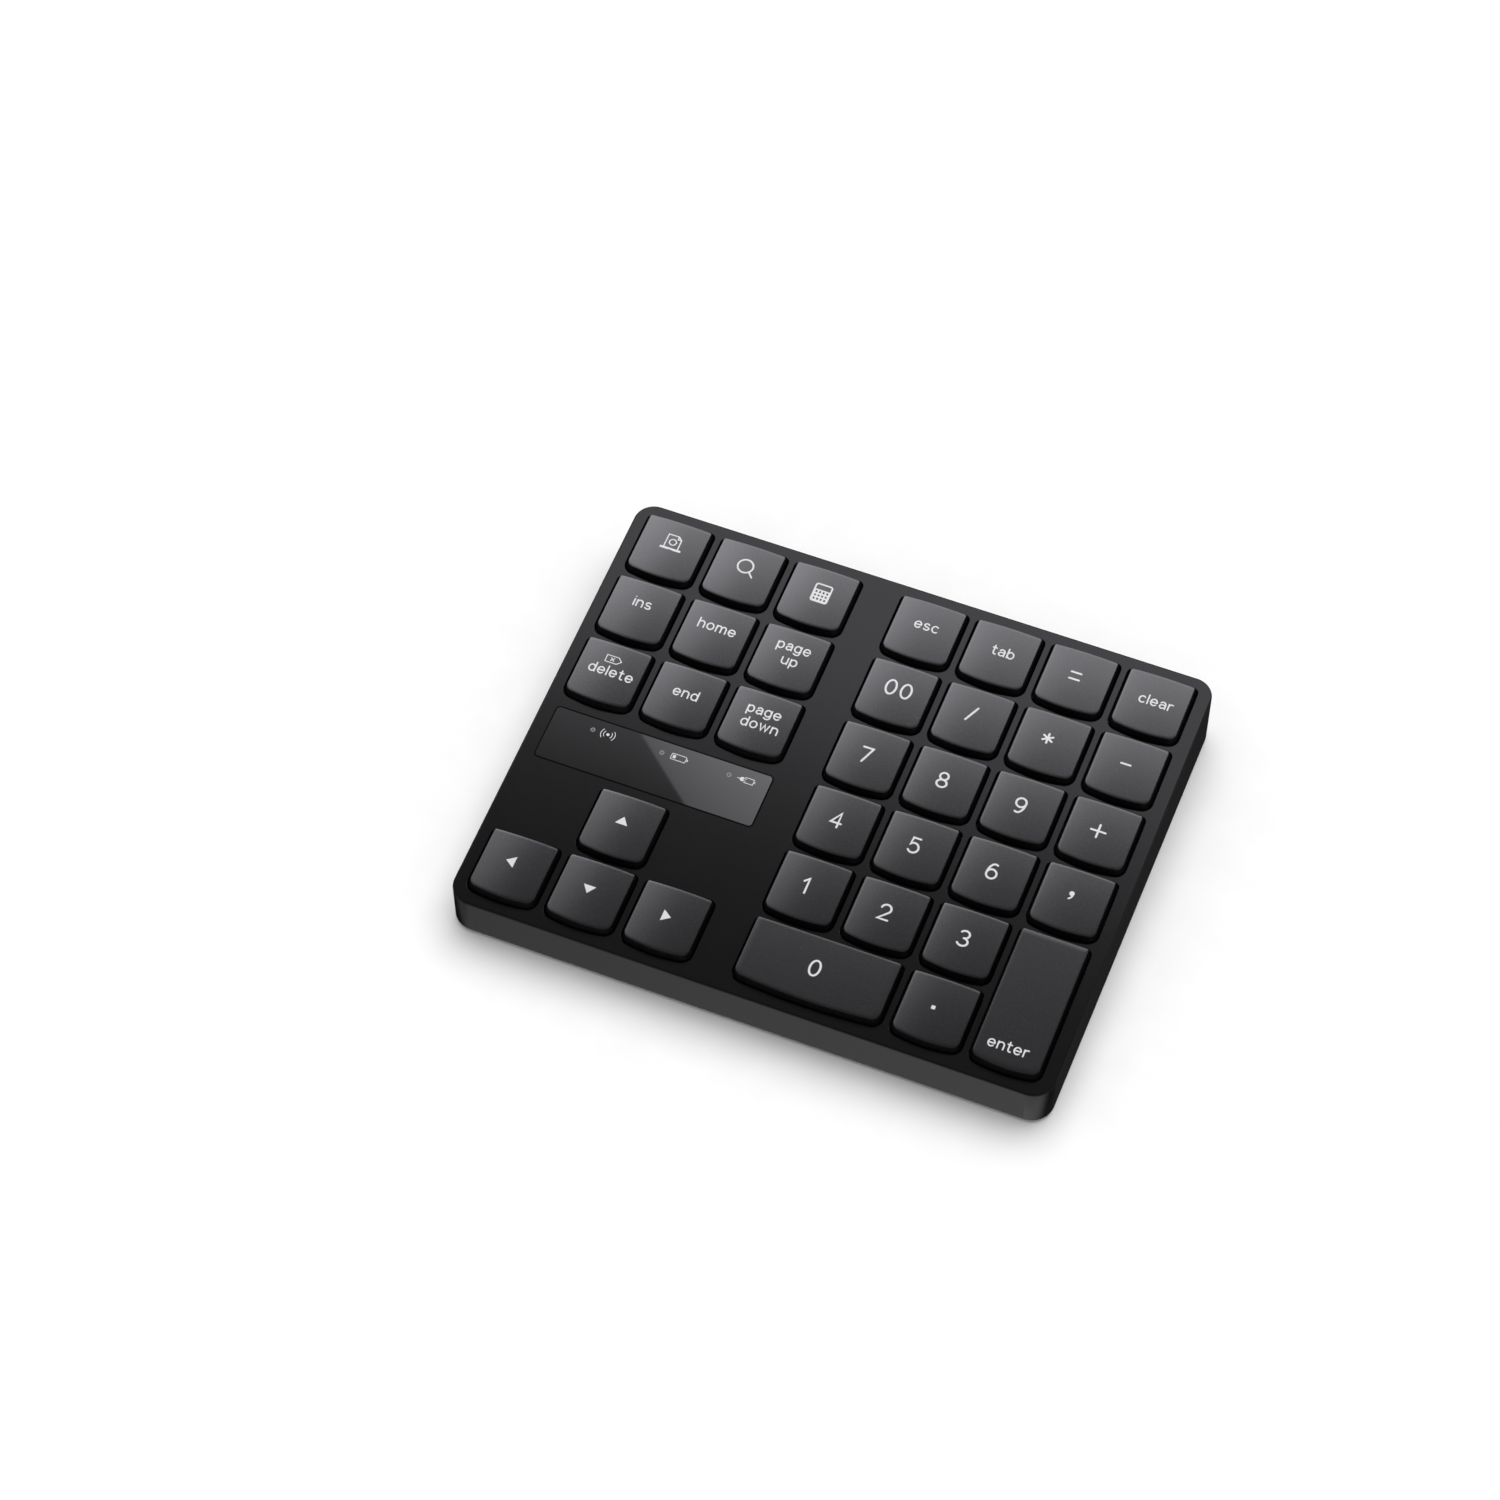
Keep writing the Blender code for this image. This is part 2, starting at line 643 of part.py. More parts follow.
def sheet(name, layer, deck, finish):
    made = solid(name, [prism(case_outline(WALL + GAP), *layer)], deck, finish)
    cut(made, name + "_boss_holes", boss_holes(layer))
    return made


def clip(x, y, lengthwise):
    """A pair of low cheeks that hold the stabilizer bar's axle."""
    bodies = []
    for side in (-1, 1):
        offset = BAR_RADIUS + GAP + CLIP_THICKNESS / 2
        across = around(-BAR_OFFSET + side * offset, CLIP_THICKNESS)
        for along in (-CLIP_PLACE, CLIP_PLACE):
            cheek = turned(rectangle(around(along, CLIP_LENGTH), across), lengthwise)
            bodies.append(prism(moved(cheek, x, y), GUIDE_LAYER[1] - OVERLAP, BAR_AXIS_Z + CLIP_ABOVE_AXIS))
    return bodies


def make_guide_plate(deck):
    plate = sheet("key_guide_plate", GUIDE_LAYER, deck, inner_plastic())
    low, high = GUIDE_LAYER[0] - PAST, GUIDE_LAYER[1] + PAST
    hole = around(0, STEM_WIDTH + 2 * GAP)
    cut(plate, "stem_holes",
        [prism(moved(rectangle(hole, hole), x, y), low, high) for _n, x, y, _w, _d in key_layout()])
    cut(plate, "board_window", [prism(notch_for_board(BOARD_CLEARANCE), low, high)])
    for name, x, y, wide, deep in key_layout():
        if wide + deep > 2:
            for i, body in enumerate(clip(x, y, deep > 1)):
                join(plate, f"{name}_clip_{i + 1}", [body])


def dome(x, y, shrink, low, high):
    base = circle(x, y, DOME_BASE_RADIUS - shrink, 8)
    top = circle(x, y, DOME_TOP_RADIUS - shrink, 8)
    return [ring(base, low), ring(top, high)]


def make_dome_sheet(deck):
    silicone = material("silicone", (0.75, 0.76, 0.76), 0.5)
    made = sheet("dome_sheet", DOME_LAYER, deck, silicone)
    low, high = DOME_LAYER
    keys = key_layout()
    join(made, "domes", [dome(x, y, 0, high - OVERLAP, DOME_TOP) for _n, x, y, _w, _d in keys])
    cut(made, "dome_hollows",
        [dome(x, y, DOME_WALL, low - PAST / 2, DOME_TOP - DOME_WALL) for _n, x, y, _w, _d in keys])
    cut(made, "dome_sheet_lead_notch", lead_notch(DOME_LAYER))


def make_flat_layers(deck):
    film = material("polyester_film", (0.55, 0.62, 0.58), 0.3)
    membrane = sheet("membrane_circuit", MEMBRANE_LAYER, deck, film)
    cut(membrane, "membrane_lead_notch", lead_notch(MEMBRANE_LAYER))
    plate = sheet("support_plate", PLATE_LAYER, deck, steel())
    cut(plate, "plate_lead_notch", lead_notch(PLATE_LAYER))


# ---------------------------------------------------------------- status strip and electronics


def make_indicator_window(deck):
    smoked = material("smoked_plastic", (0.02, 0.02, 0.022), 0.08)
    window = solid("indicator_window", [prism(strip_outline(0), -STRIP_THICKNESS, 0)], deck, smoked)
    led_top = COMPONENTS + LED_HEIGHT
    for name, x in LED_X.items():
        post = circle(x, LED_Y, LIGHT_POST_RADIUS, 8)
        join(window, name + "_light_post", [prism(post, led_top + GAP, -STRIP_THICKNESS + OVERLAP)])


def make_board(deck):
    green = material("board_lacquer", (0.03, 0.16, 0.08), 0.4)
    outline = [(max(x, BOARD_LEFT), y) for x, y in notch_for_board(0)]
    solid("controller_board", [prism(outline, *BOARD_LAYER)], deck, green)
    diode = material("led_package", (0.85, 0.85, 0.8), 0.3)
    for name, x in LED_X.items():
        led = box(around(x, LED_LENGTH), around(LED_Y, LED_WIDTH), (COMPONENTS, COMPONENTS + LED_HEIGHT))
        solid(name, [led], deck, diode)
    can = material("nickel_can", (0.7, 0.7, 0.68), 0.3, 1.0)
    module = box(RADIO_X, RADIO_Y, (COMPONENTS, COMPONENTS + RADIO_HEIGHT))
    solid("radio_module", [module], deck, can)


def make_socket(deck):
    """The charge socket: a metal shell with a tongue inside."""
    x0 = -CASE_WIDTH / 2 + SOCKET_SETBACK
    z_middle = COMPONENTS + SOCKET_HEIGHT / 2
    metal = material("socket_shell", (0.65, 0.65, 0.66), 0.25, 1.0)
    shell = [
        [(x, y + SOCKET_Y, z + z_middle) for y, z in stadium(SOCKET_WIDTH, SOCKET_HEIGHT)]
        for x in (x0, x0 + SOCKET_LENGTH)
    ]
    socket = solid("usb_c_socket", [shell], deck, metal)
    hollow = [
        [(x, y + SOCKET_Y, z + z_middle)
         for y, z in stadium(SOCKET_WIDTH - 2 * SOCKET_SHEET, SOCKET_HEIGHT - 2 * SOCKET_SHEET)]
        for x in (x0 - PAST, x0 + SOCKET_LENGTH - SOCKET_BACK)
    ]
    cut(socket, "socket_hollow", [hollow])
    tongue = box((x0 + TONGUE_SETBACK, x0 + SOCKET_LENGTH - SOCKET_BACK / 2),
                 around(SOCKET_Y, TONGUE_WIDTH), around(z_middle, TONGUE_THICKNESS))
    join(socket, "socket_tongue", [tongue])


def stadium(width, height):
    """A slot's outline in the plane square to +x, turning from +y to +z."""
    radius = height / 2
    run = width / 2 - radius
    return (arc(run, 0, radius, -math.pi / 2, math.pi / 2, 6)
            + arc(-run, 0, radius, math.pi / 2, 3 * math.pi / 2, 6))


def make_power_switch(deck):
    depth, length, height = SWITCH_BODY
    front_x = -CASE_WIDTH / 2 + WALL + GAP
    back_x = front_x + depth
    shell = box((front_x, back_x), around(SWITCH_Y, length), (COMPONENTS, COMPONENTS + height))
    body = solid("power_switch_body", [shell], deck, material("switch_shell", (0.6, 0.6, 0.6), 0.35, 1.0))
    track = box((front_x - PAST, back_x - SWITCH_BACK), around(SWITCH_Y, TRACK_LENGTH),
                around(SWITCH_Z, TRACK_HEIGHT))
    cut(body, "switch_track", [track])
    knob = box((-CASE_WIDTH / 2 + KNOB_SETBACK, back_x - SWITCH_BACK - GAP),
               around(SWITCH_Y - SWITCH_TRAVEL / 2, KNOB_LENGTH), around(SWITCH_Z, KNOB_HEIGHT))
    solid("power_switch_slider", [knob], deck, material("switch_plastic", (0.05, 0.05, 0.05), 0.5))


def make_battery(deck):
    foil = material("battery_foil", (0.7, 0.7, 0.72), 0.3, 0.6)
    pack = rounded_box_outline(BATTERY_X, BATTERY_Y, BATTERY_CORNER, BATTERY_CORNER, 2)
    low = BOTTOM_THICKNESS + GAP
    solid("battery", [prism(pack, above_floor(low), above_floor(low + BATTERY_THICKNESS))], deck, foil)
    start_y = BATTERY_Y[0] - GAP
    deep = floor_level(start_y) + low + BATTERY_THICKNESS / 2
    points = [
        (LEAD_START_X, start_y, deep),
        (LEAD_START_X, start_y - 3 * MM, deep),
        (LEAD_START_X, LEAD_TURN_Y, deep + 1.0 * MM),
        (LEAD_X, LEAD_UP_Y + 0.6 * MM, STACK_BOTTOM - 1.2 * MM),
        (LEAD_X, LEAD_UP_Y, LEAD_END_Z),
        (LEAD_X, LEAD_END_Y, LEAD_END_Z),
    ]
    jacket = material("lead_jacket", (0.35, 0.02, 0.02), 0.5)
    wire("battery_lead", points, LEAD_RADIUS, deck, jacket, 1.0 * MM)


# ---------------------------------------------------------------- the whole keypad


def deck_frame():
    """The empty at the middle of the deck, tilted so that the case's bottom is level."""
    frame = bpy.data.objects.new("deck", None)
    bpy.context.scene.collection.objects.link(frame)
    frame.rotation_euler = (TILT, 0, 0)
    centre_y = -(REAR_HEIGHT + EDGE_CHAMFER) * math.sin(TILT) / 2
    frame.location = (0, centre_y, (FOOT_HEIGHT + MIDDLE_HEIGHT) * math.cos(TILT))
    return frame


def main():
    for found in list(bpy.data.objects):
        bpy.data.objects.remove(found)
    deck = deck_frame()
    make_top_case(deck)
    make_bottom_case(deck)
    make_keys(deck)
    for name, x, y, wide, deep in key_layout():
        if wide + deep > 2:
            make_stabilizer_bar(name.replace("key", "stabilizer_bar"), deck, x, y, deep > 1)
    make_guide_plate(deck)
    make_dome_sheet(deck)
    make_flat_layers(deck)
    make_indicator_window(deck)
    make_board(deck)
    make_socket(deck)
    make_power_switch(deck)
    make_battery(deck)
    make_feet(deck)
    make_screws(deck)


main()
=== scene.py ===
"""The looks of the wireless numeric keypad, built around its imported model.

New pieces are modelled in the frame of the sloping deck: x to the right, y to the rear, z square to the
deck, from the middle of its surface. place() moves them into the row frame. Lengths are in metres.
"""

import json
import math

import bmesh
import bpy
from mathutils import Matrix, Vector, geometry


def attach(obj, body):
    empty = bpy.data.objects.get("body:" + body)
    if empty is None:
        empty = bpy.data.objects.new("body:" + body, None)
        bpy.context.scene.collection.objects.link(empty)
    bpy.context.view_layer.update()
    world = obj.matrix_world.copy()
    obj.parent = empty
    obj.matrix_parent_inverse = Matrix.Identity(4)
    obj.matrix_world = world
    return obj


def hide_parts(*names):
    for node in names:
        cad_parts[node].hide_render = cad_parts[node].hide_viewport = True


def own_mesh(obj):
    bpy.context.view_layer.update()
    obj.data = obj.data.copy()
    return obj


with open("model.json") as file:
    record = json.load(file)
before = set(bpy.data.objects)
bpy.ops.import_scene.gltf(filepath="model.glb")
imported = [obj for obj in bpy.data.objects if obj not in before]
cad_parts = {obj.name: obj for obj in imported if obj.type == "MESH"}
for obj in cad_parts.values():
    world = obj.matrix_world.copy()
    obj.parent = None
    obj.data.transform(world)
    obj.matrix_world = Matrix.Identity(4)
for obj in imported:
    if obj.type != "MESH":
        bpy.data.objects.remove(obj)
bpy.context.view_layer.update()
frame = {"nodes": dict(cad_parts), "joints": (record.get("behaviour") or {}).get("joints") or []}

MM = 0.001

# The deck's frame, read from a key's direction of travel and from the top case.
KEY_TRAVEL_AXIS = Vector(next(j["axis"] for j in frame["joints"] if j["name"] == "key_5_press"))
TILT = math.atan2(KEY_TRAVEL_AXIS.y, -KEY_TRAVEL_AXIS.z)
DECK_TURN = Matrix.Rotation(TILT, 4, "X")


def turned_box(node):
    """A node's lowest and highest corners along the deck's axes."""
    points = [DECK_TURN.inverted() @ v.co for v in frame["nodes"][node].data.vertices]
    return [Vector(pick(p[i] for p in points) for i in range(3)) for pick in (min, max)]


CASE_LOW, CASE_HIGH = turned_box("top_case")
DECK_ORIGIN = Vector(((CASE_LOW.x + CASE_HIGH.x) / 2, (CASE_LOW.y + CASE_HIGH.y) / 2, CASE_HIGH.z))
TO_ROW = DECK_TURN @ Matrix.Translation(DECK_ORIGIN)


def deck_box(node):
    """A node's lowest and highest corners in the deck's frame."""
    return [corner - DECK_ORIGIN for corner in turned_box(node)]


def middle_of(node):
    low, high = deck_box(node)
    return (low.x + high.x) / 2, (low.y + high.y) / 2


# Case
CASE_WIDTH = CASE_HIGH.x - CASE_LOW.x
CASE_DEPTH = CASE_HIGH.y - CASE_LOW.y
SLOPE = math.tan(TILT)
WALL = 1.8 * MM
DECK_THICKNESS = 1.6 * MM
BOTTOM_THICKNESS = 1.6 * MM
FRONT_CORNER_RADIUS = 5.5 * MM
REAR_CORNER_RADIUS = 5.0 * MM
EDGE_RADIUS = 0.45 * MM
FOOT_EDGE_RADIUS = 0.5 * MM
GAP = 0.3 * MM
SCREW_HOLE_RADIUS = 1.3 * MM
SWITCH_TRAVEL = 2.5 * MM
FRONT_HEIGHT = 11.8 * MM
MIDDLE_HEIGHT = FRONT_HEIGHT + SLOPE * CASE_DEPTH / 2

# Keys
SKIRT_FLARE = 0.5 * MM
SKIRT_WALL = 1.0 * MM
SKIRT_SHOULDER = -0.1 * MM
SKIRT_BOTTOM = SKIRT_SHOULDER - 1.8 * MM
SKIRT_ROUNDING = 0.15 * MM
KEY_BOW = 1.0 * MM
KEY_FRONT_RADIUS = 1.9 * MM
KEY_REAR_RADIUS = 0.55 * MM
KEY_EDGE_RADIUS = 0.18 * MM
KEY_CROWN = (0.4 * MM, 0.08 * MM)
LONG_KEY_CROWN = (0.05 * MM, 0.05 * MM)
LONG_KEY = 20 * MM
CEILING = 0.8 * MM
STEM_HALF = 2.3 * MM
STEM_BOTTOM = -5.4 * MM
DOME_FOOT = -8.25 * MM
DOME_TOP = -5.7 * MM
OPENING_GAP = 0.3 * MM
OPENING_RIM = 0.15 * MM

# Printing
PRINT_LIFT = 0.03 * MM
PRINT_DEPTH = 0.05 * MM
DIGIT_HEIGHT = 4.5 * MM
LETTER_HEIGHT = 2.15 * MM
DIGIT_STROKE = 0.5 * MM
DIGIT_GAP = 1.35 * MM
LETTER_STROKE = 0.37 * MM
LETTER_GAP = 0.74 * MM
PRINT_SLOT = "legend_ink"

FEET = [f"foot_{end}_{side}" for end in ("front", "rear") for side in ("left", "right")]
SCREWS = ("case_screw_front", "case_screw_rear")
SHARP_ANGLE = math.radians(35)
LEDS = ("led_wireless", "led_battery", "led_charge")
KEYS = sorted(name for name in frame["nodes"] if name.startswith("key_") and name != "key_guide_plate")


# ---------- outlines


def arc(cx, cy, rx, ry, start, end, steps):
    """Points along an elliptical arc, angles in degrees from +x."""
    angles = [math.radians(start + (end - start) * i / steps) for i in range(steps + 1)]
    return [(cx + rx * math.cos(a), cy + ry * math.sin(a)) for a in angles]


def run(start, end, steps):
    """The points strictly between two others."""
    return [tuple(a + (b - a) * i / steps for a, b in zip(start, end)) for i in range(1, steps)]


def rounded_rectangle(x_range, y_range, front_radius, rear_radius, steps):
    """Counterclockwise from the left end of the front left corner."""
    (x0, x1), (y0, y1) = x_range, y_range
    f, r = front_radius, rear_radius
    return (
        arc(x0 + f, y0 + f, f, f, 180, 270, steps)
        + arc(x1 - f, y0 + f, f, f, 270, 360, steps)
        + arc(x1 - r, y1 - r, r, r, 0, 90, steps)
        + arc(x0 + r, y1 - r, r, r, 90, 180, steps)
    )


def circle(cx, cy, radius, steps):
    return arc(cx, cy, radius, radius, 0, 360 * (steps - 1) / steps, steps - 1)


def case_outline(inset):
    x, y = CASE_WIDTH / 2 - inset, CASE_DEPTH / 2 - inset
    return rounded_rectangle((-x, x), (-y, y), FRONT_CORNER_RADIUS - inset, REAR_CORNER_RADIUS - inset, 16)


def key_outline(width, depth, grow):
    """A key seen from above, counterclockwise: a front edge that bows outwards, and straight sides."""
    half = width / 2 + grow
    front, rear = -depth / 2 - grow, depth / 2 + grow
    front_radius, rear_radius = KEY_FRONT_RADIUS + grow, KEY_REAR_RADIUS + grow
    bow_radius = (half**2 + KEY_BOW**2) / (2 * KEY_BOW)
    bow_centre = front + bow_radius
    corner_x = half - front_radius
    corner_y = bow_centre - math.sqrt((bow_radius - front_radius) ** 2 - corner_x**2)
    lean = math.degrees(math.atan2(corner_x, bow_centre - corner_y))
    rear_x, rear_y = half - rear_radius, rear - rear_radius
    steps = 8
    return (
        arc(0, bow_centre, bow_radius, bow_radius, 270 - lean, 270 + lean, steps)
        + arc(corner_x, corner_y, front_radius, front_radius, 270 + lean, 360, 6)[1:]
        + run((half, corner_y), (half, rear_y), steps)
        + arc(rear_x, rear_y, rear_radius, rear_radius, 0, 90, 5)
        + run((rear_x, rear), (-rear_x, rear), steps)
        + arc(-rear_x, rear_y, rear_radius, rear_radius, 90, 180, 5)
        + run((-half, rear_y), (-half, corner_y), steps)
        + arc(-corner_x, corner_y, front_radius, front_radius, 180, 270 - lean, 6)[:-1]
    )


def stadium(length, height, steps=10):
    """A slot's outline, long along its first axis."""
    radius = height / 2
    reach = length / 2 - radius
    return arc(reach, 0, radius, radius, -90, 90, steps) + arc(-reach, 0, radius, radius, 90, 270, steps)


def rounded_box(half_x, half_y, radius, steps):
    return rounded_rectangle((-half_x, half_x), (-half_y, half_y), radius, radius, steps)


def box_outline(x_range, y_range):
    (x0, x1), (y0, y1) = x_range, y_range
    return [(x0, y0), (x1, y0), (x1, y1), (x0, y1)]


def moved(outline, x, y, scale=1):
    return [(px * scale + x, py * scale + y) for px, py in outline]


def floor_level(y):
    """The case's bottom plane in the deck's frame."""
    return -MIDDLE_HEIGHT - SLOPE * y


def above_floor(height):
    return lambda y: floor_level(y) + height


def ring(outline, level):
    return [(x, y, level(y) if callable(level) else level) for x, y in outline]


def quarter(radius, steps):
    """(inset, drop) pairs down a quarter-round edge, from the flat to the wall."""
    angles = [math.pi / 2 * i / steps for i in range(steps + 1)]
    return [(radius * (1 - math.sin(a)), radius * (1 - math.cos(a))) for a in angles]


def turned(x, y, profile, steps, level=float):
    """Round rings of points about x, y. The profile gives each one's radius and height."""
    return [ring(circle(x, y, radius, steps), level(height)) for radius, height in profile]


# ---------- mesh work


def add_ring(bm, points):
    return [bm.verts.new(p) for p in points]


def bridge(bm, loops, cap_first=False, cap_last=False):
    """Quads between rings of vertices of equal length, with a face over either end if asked."""
    for low, high in zip(loops, loops[1:]):
        for i in range(len(low)):
            j = (i + 1) % len(low)
            bm.faces.new((low[i], low[j], high[j], high[i]))
    if cap_first:
        bm.faces.new(reversed(loops[0]))
    if cap_last:
        bm.faces.new(loops[-1])


def skin(bm, rings, cap_first=False, cap_last=False):
    """Quads between rings of points, closed at the ends if asked. Returns the rings of vertices."""
    loops = [add_ring(bm, points) for points in rings]
    bridge(bm, loops, cap_first, cap_last)
    return loops


def inside(point, loop):
    """Whether a 2-D point lies in a closed loop of points."""
    x, y = point
    found = False
    for (x0, y0), (x1, y1) in zip(loop, loop[1:] + loop[:1]):
        if (y0 > y) != (y1 > y) and x < x0 + (x1 - x0) * (y - y0) / (y1 - y0):
            found = not found
    return found


def fill_plane(bm, outer, holes):
    """Faces between a ring of vertices and the rings of holes in it."""
    loops = [outer] + holes
    verts = [v for loop in loops for v in loop]
    edges, flat_loops, start = [], [], 0
    for loop in loops:
        count = len(loop)
        edges += [(start + i, start + (i + 1) % count) for i in range(count)]
        flat_loops.append([(v.co.x / MM, v.co.y / MM) for v in loop])
        start += count
    points = [Vector(p) for loop in flat_loops for p in loop]
    out_points, _e, faces, origins, _oe, _of = geometry.delaunay_2d_cdt(points, edges, [], 1, 1e-6)
    for face in faces:
        middle = sum((out_points[i] for i in face), Vector((0, 0))) / 3
        if inside(middle, flat_loops[0]) and not any(inside(middle, h) for h in flat_loops[1:]):
            bm.faces.new([verts[origins[i][0]] for i in face])


def flatten_square_faces(mesh):
    """Flat shading for the faces that lie square to the mesh's own axes."""
    for polygon in mesh.polygons:
        if max(abs(c) for c in polygon.normal) > 0.99999:
            polygon.use_smooth = False


def add_object(name, data):
    made = bpy.data.objects.new(name, data)
    bpy.context.scene.collection.objects.link(made)
    return made


def to_object(name, bm, material, square_faces=True):
    """A finished object from a bmesh in the deck's frame, not yet placed."""
    bmesh.ops.recalc_face_normals(bm, faces=bm.faces)
    mesh = bpy.data.meshes.new(name)
    bm.to_mesh(mesh)
    bm.free()
    mesh.shade_smooth()
    mesh.set_sharp_from_angle(angle=SHARP_ANGLE)
    if square_faces:
        flatten_square_faces(mesh)
    mesh.materials.append(material)
    return add_object(name, mesh)


def lofted(name, rings, material, square_faces=True):
    """A closed body through rings of points."""
    bm = bmesh.new()
    skin(bm, rings, True, True)
    return to_object(name, bm, material, square_faces)


def place(piece, body, slot=None, *nodes):
    """Moves a piece from the deck's frame to the row frame, hangs it on what it rides on, and hides the nodes
    it stands for.
    """
    piece.data.transform(TO_ROW)
    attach(piece, body)
    if nodes:
        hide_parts(*nodes)
    return piece


def cut_away(piece, cutters):
    """Takes the cutters out of a piece for good."""
    for cutter in cutters:
        modifier = piece.modifiers.new("cut", "BOOLEAN")
        modifier.operation = "DIFFERENCE"
        modifier.object = cutter
        modifier.solver = "EXACT"
    graph = bpy.context.evaluated_depsgraph_get()
    mesh = bpy.data.meshes.new_from_object(piece.evaluated_get(graph))
    piece.modifiers.clear()
    old = piece.data
    piece.data = mesh
    bpy.data.meshes.remove(old)
    mesh.name = piece.name
    for cutter in cutters:
        bpy.data.objects.remove(cutter)


# ---------- materials

MOTTLE = 9 * MM
NOISE_RANGE = (0.3, 0.7)


def add_node(tree, kind, inputs=(), **settings):
    """A shader node. Its inputs are values, or outputs of other nodes."""
    made = tree.nodes.new("ShaderNode" + kind)
    for name, value in settings.items():
        setattr(made, name, value)
    for name, value in dict(inputs).items():
        if isinstance(value, bpy.types.NodeSocket):
            tree.links.new(value, made.inputs[name])
        else:
            made.inputs[name].default_value = value
    return made


def noise(tree, size, detail=2.0):
    """Noise with features of about that size, fixed to the piece."""
    where = add_node(tree, "TexCoord").outputs["Object"]
    return add_node(tree, "TexNoise", {"Vector": where, "Scale": 1 / size, "Detail": detail}).outputs["Fac"]


def mapped(tree, source, start, end, low, high, **settings):
    """A value mapped from one range to another."""
    levels = {"Value": source, "From Min": start, "From Max": end, "To Min": low, "To Max": high}
    return add_node(tree, "MapRange", levels, **settings).outputs["Result"]


def tint(value):
    """A colour with its alpha, from a colour or from the brightness of a grey."""
    return (*(value if isinstance(value, tuple) else (value, value, value)), 1)


def moulded(name, dark, light, roughness, grain=0.12 * MM, depth=0.004 * MM, specular=0.5, metallic=0.0):
    """A moulded or drawn surface: slow colour change, fine grain in gloss and in relief."""
    made = bpy.data.materials.new(name)
    made.use_nodes = True
    tree = made.node_tree
    slow, fine = noise(tree, MOTTLE), noise(tree, grain, 3.0)
    colours = {"Factor": mapped(tree, slow, *NOISE_RANGE, 0, 1), "A": tint(dark), "B": tint(light)}
    shader = tree.nodes["Principled BSDF"]
    for source, target in (
        (add_node(tree, "Mix", colours, data_type="RGBA").outputs["Result"], "Base Color"),
        (mapped(tree, fine, *NOISE_RANGE, *roughness), "Roughness"),
        (add_node(tree, "Bump", {"Height": fine, "Distance": depth}).outputs["Normal"], "Normal"),
    ):
        tree.links.new(source, shader.inputs[target])
    shader.inputs["Specular IOR Level"].default_value = specular
    shader.inputs["Metallic"].default_value = metallic
    return made


CASE_FINISH = moulded("case_satin", 0.0035, (0.0045, 0.0045, 0.00495), (0.17, 0.21), depth=0.0003 * MM,
                      specular=0.42)
KEY_FINISH = moulded("key_satin", (0.005, 0.005, 0.0055), (0.0065, 0.0065, 0.00754), (0.24, 0.28),
                     depth=0.0012 * MM, specular=0.8)
PRINT_FINISH = moulded("white_print", 0.8, 0.86, (0.4, 0.5), depth=0.001 * MM)
WINDOW_FINISH = moulded("smoked_gloss", 0.006, 0.008, (0.015, 0.025), depth=0.00005 * MM)
RUBBER = moulded("foot_rubber", 0.018, 0.026, (0.75, 0.9), 0.25 * MM, 0.02 * MM)
SCREW_STEEL = moulded("screw_black_zinc", 0.1, 0.14, (0.25, 0.4), metallic=1.0)
SHELL_STEEL = moulded("drawn_steel", 0.55, 0.62, (0.2, 0.32), 0.3 * MM, metallic=1.0)
TONGUE_PLASTIC = moulded("tongue_plastic", 0.012, 0.016, (0.45, 0.55))
GOLD = moulded("contact_gold", (0.72, 0.46, 0.14), (0.8, 0.54, 0.2), (0.18, 0.28), metallic=1.0)
KNOB_PLASTIC = moulded("knob_plastic", 0.02, 0.026, (0.4, 0.5))
LED_LENS = moulded("led_lens", 0.1, 0.13, (0.25, 0.35))
DIM_PRINT = moulded("grey_print", 0.42, 0.48, (0.4, 0.5), depth=0.001 * MM)
SILICONE = moulded("silicone_rubber", 0.62, 0.7, (0.45, 0.6), 0.2 * MM)

INNER_FINISHES = {
    "key_guide_plate": moulded("guide_plastic", 0.13, 0.16, (0.5, 0.6)),
    "membrane_circuit": moulded("polyester", (0.4, 0.52, 0.46), (0.46, 0.58, 0.5), (0.2, 0.3)),
    "support_plate": moulded("rolled_steel", 0.5, 0.6, (0.28, 0.42), 0.4 * MM, metallic=1.0),
    "controller_board": moulded("green_lacquer", (0.01, 0.1, 0.04), (0.02, 0.14, 0.06), (0.25, 0.35)),
    "radio_module": moulded("nickel_silver", 0.58, 0.66, (0.25, 0.35), 0.3 * MM, metallic=1.0),
    "battery": moulded("battery_foil", 0.55, 0.66, (0.25, 0.4), 0.5 * MM, metallic=0.8),
    "battery_lead": moulded("lead_jacket", (0.28, 0.012, 0.012), (0.34, 0.02, 0.02), (0.4, 0.5)),
    "power_switch_body": moulded("switch_shell", 0.5, 0.58, (0.28, 0.4), metallic=1.0),
    "stabilizer_bar": moulded("spring_wire", 0.52, 0.6, (0.2, 0.3), metallic=1.0),
    "led_": moulded("led_package", 0.7, 0.78, (0.3, 0.4)),
}


# ---------- printing: strokes with round ends


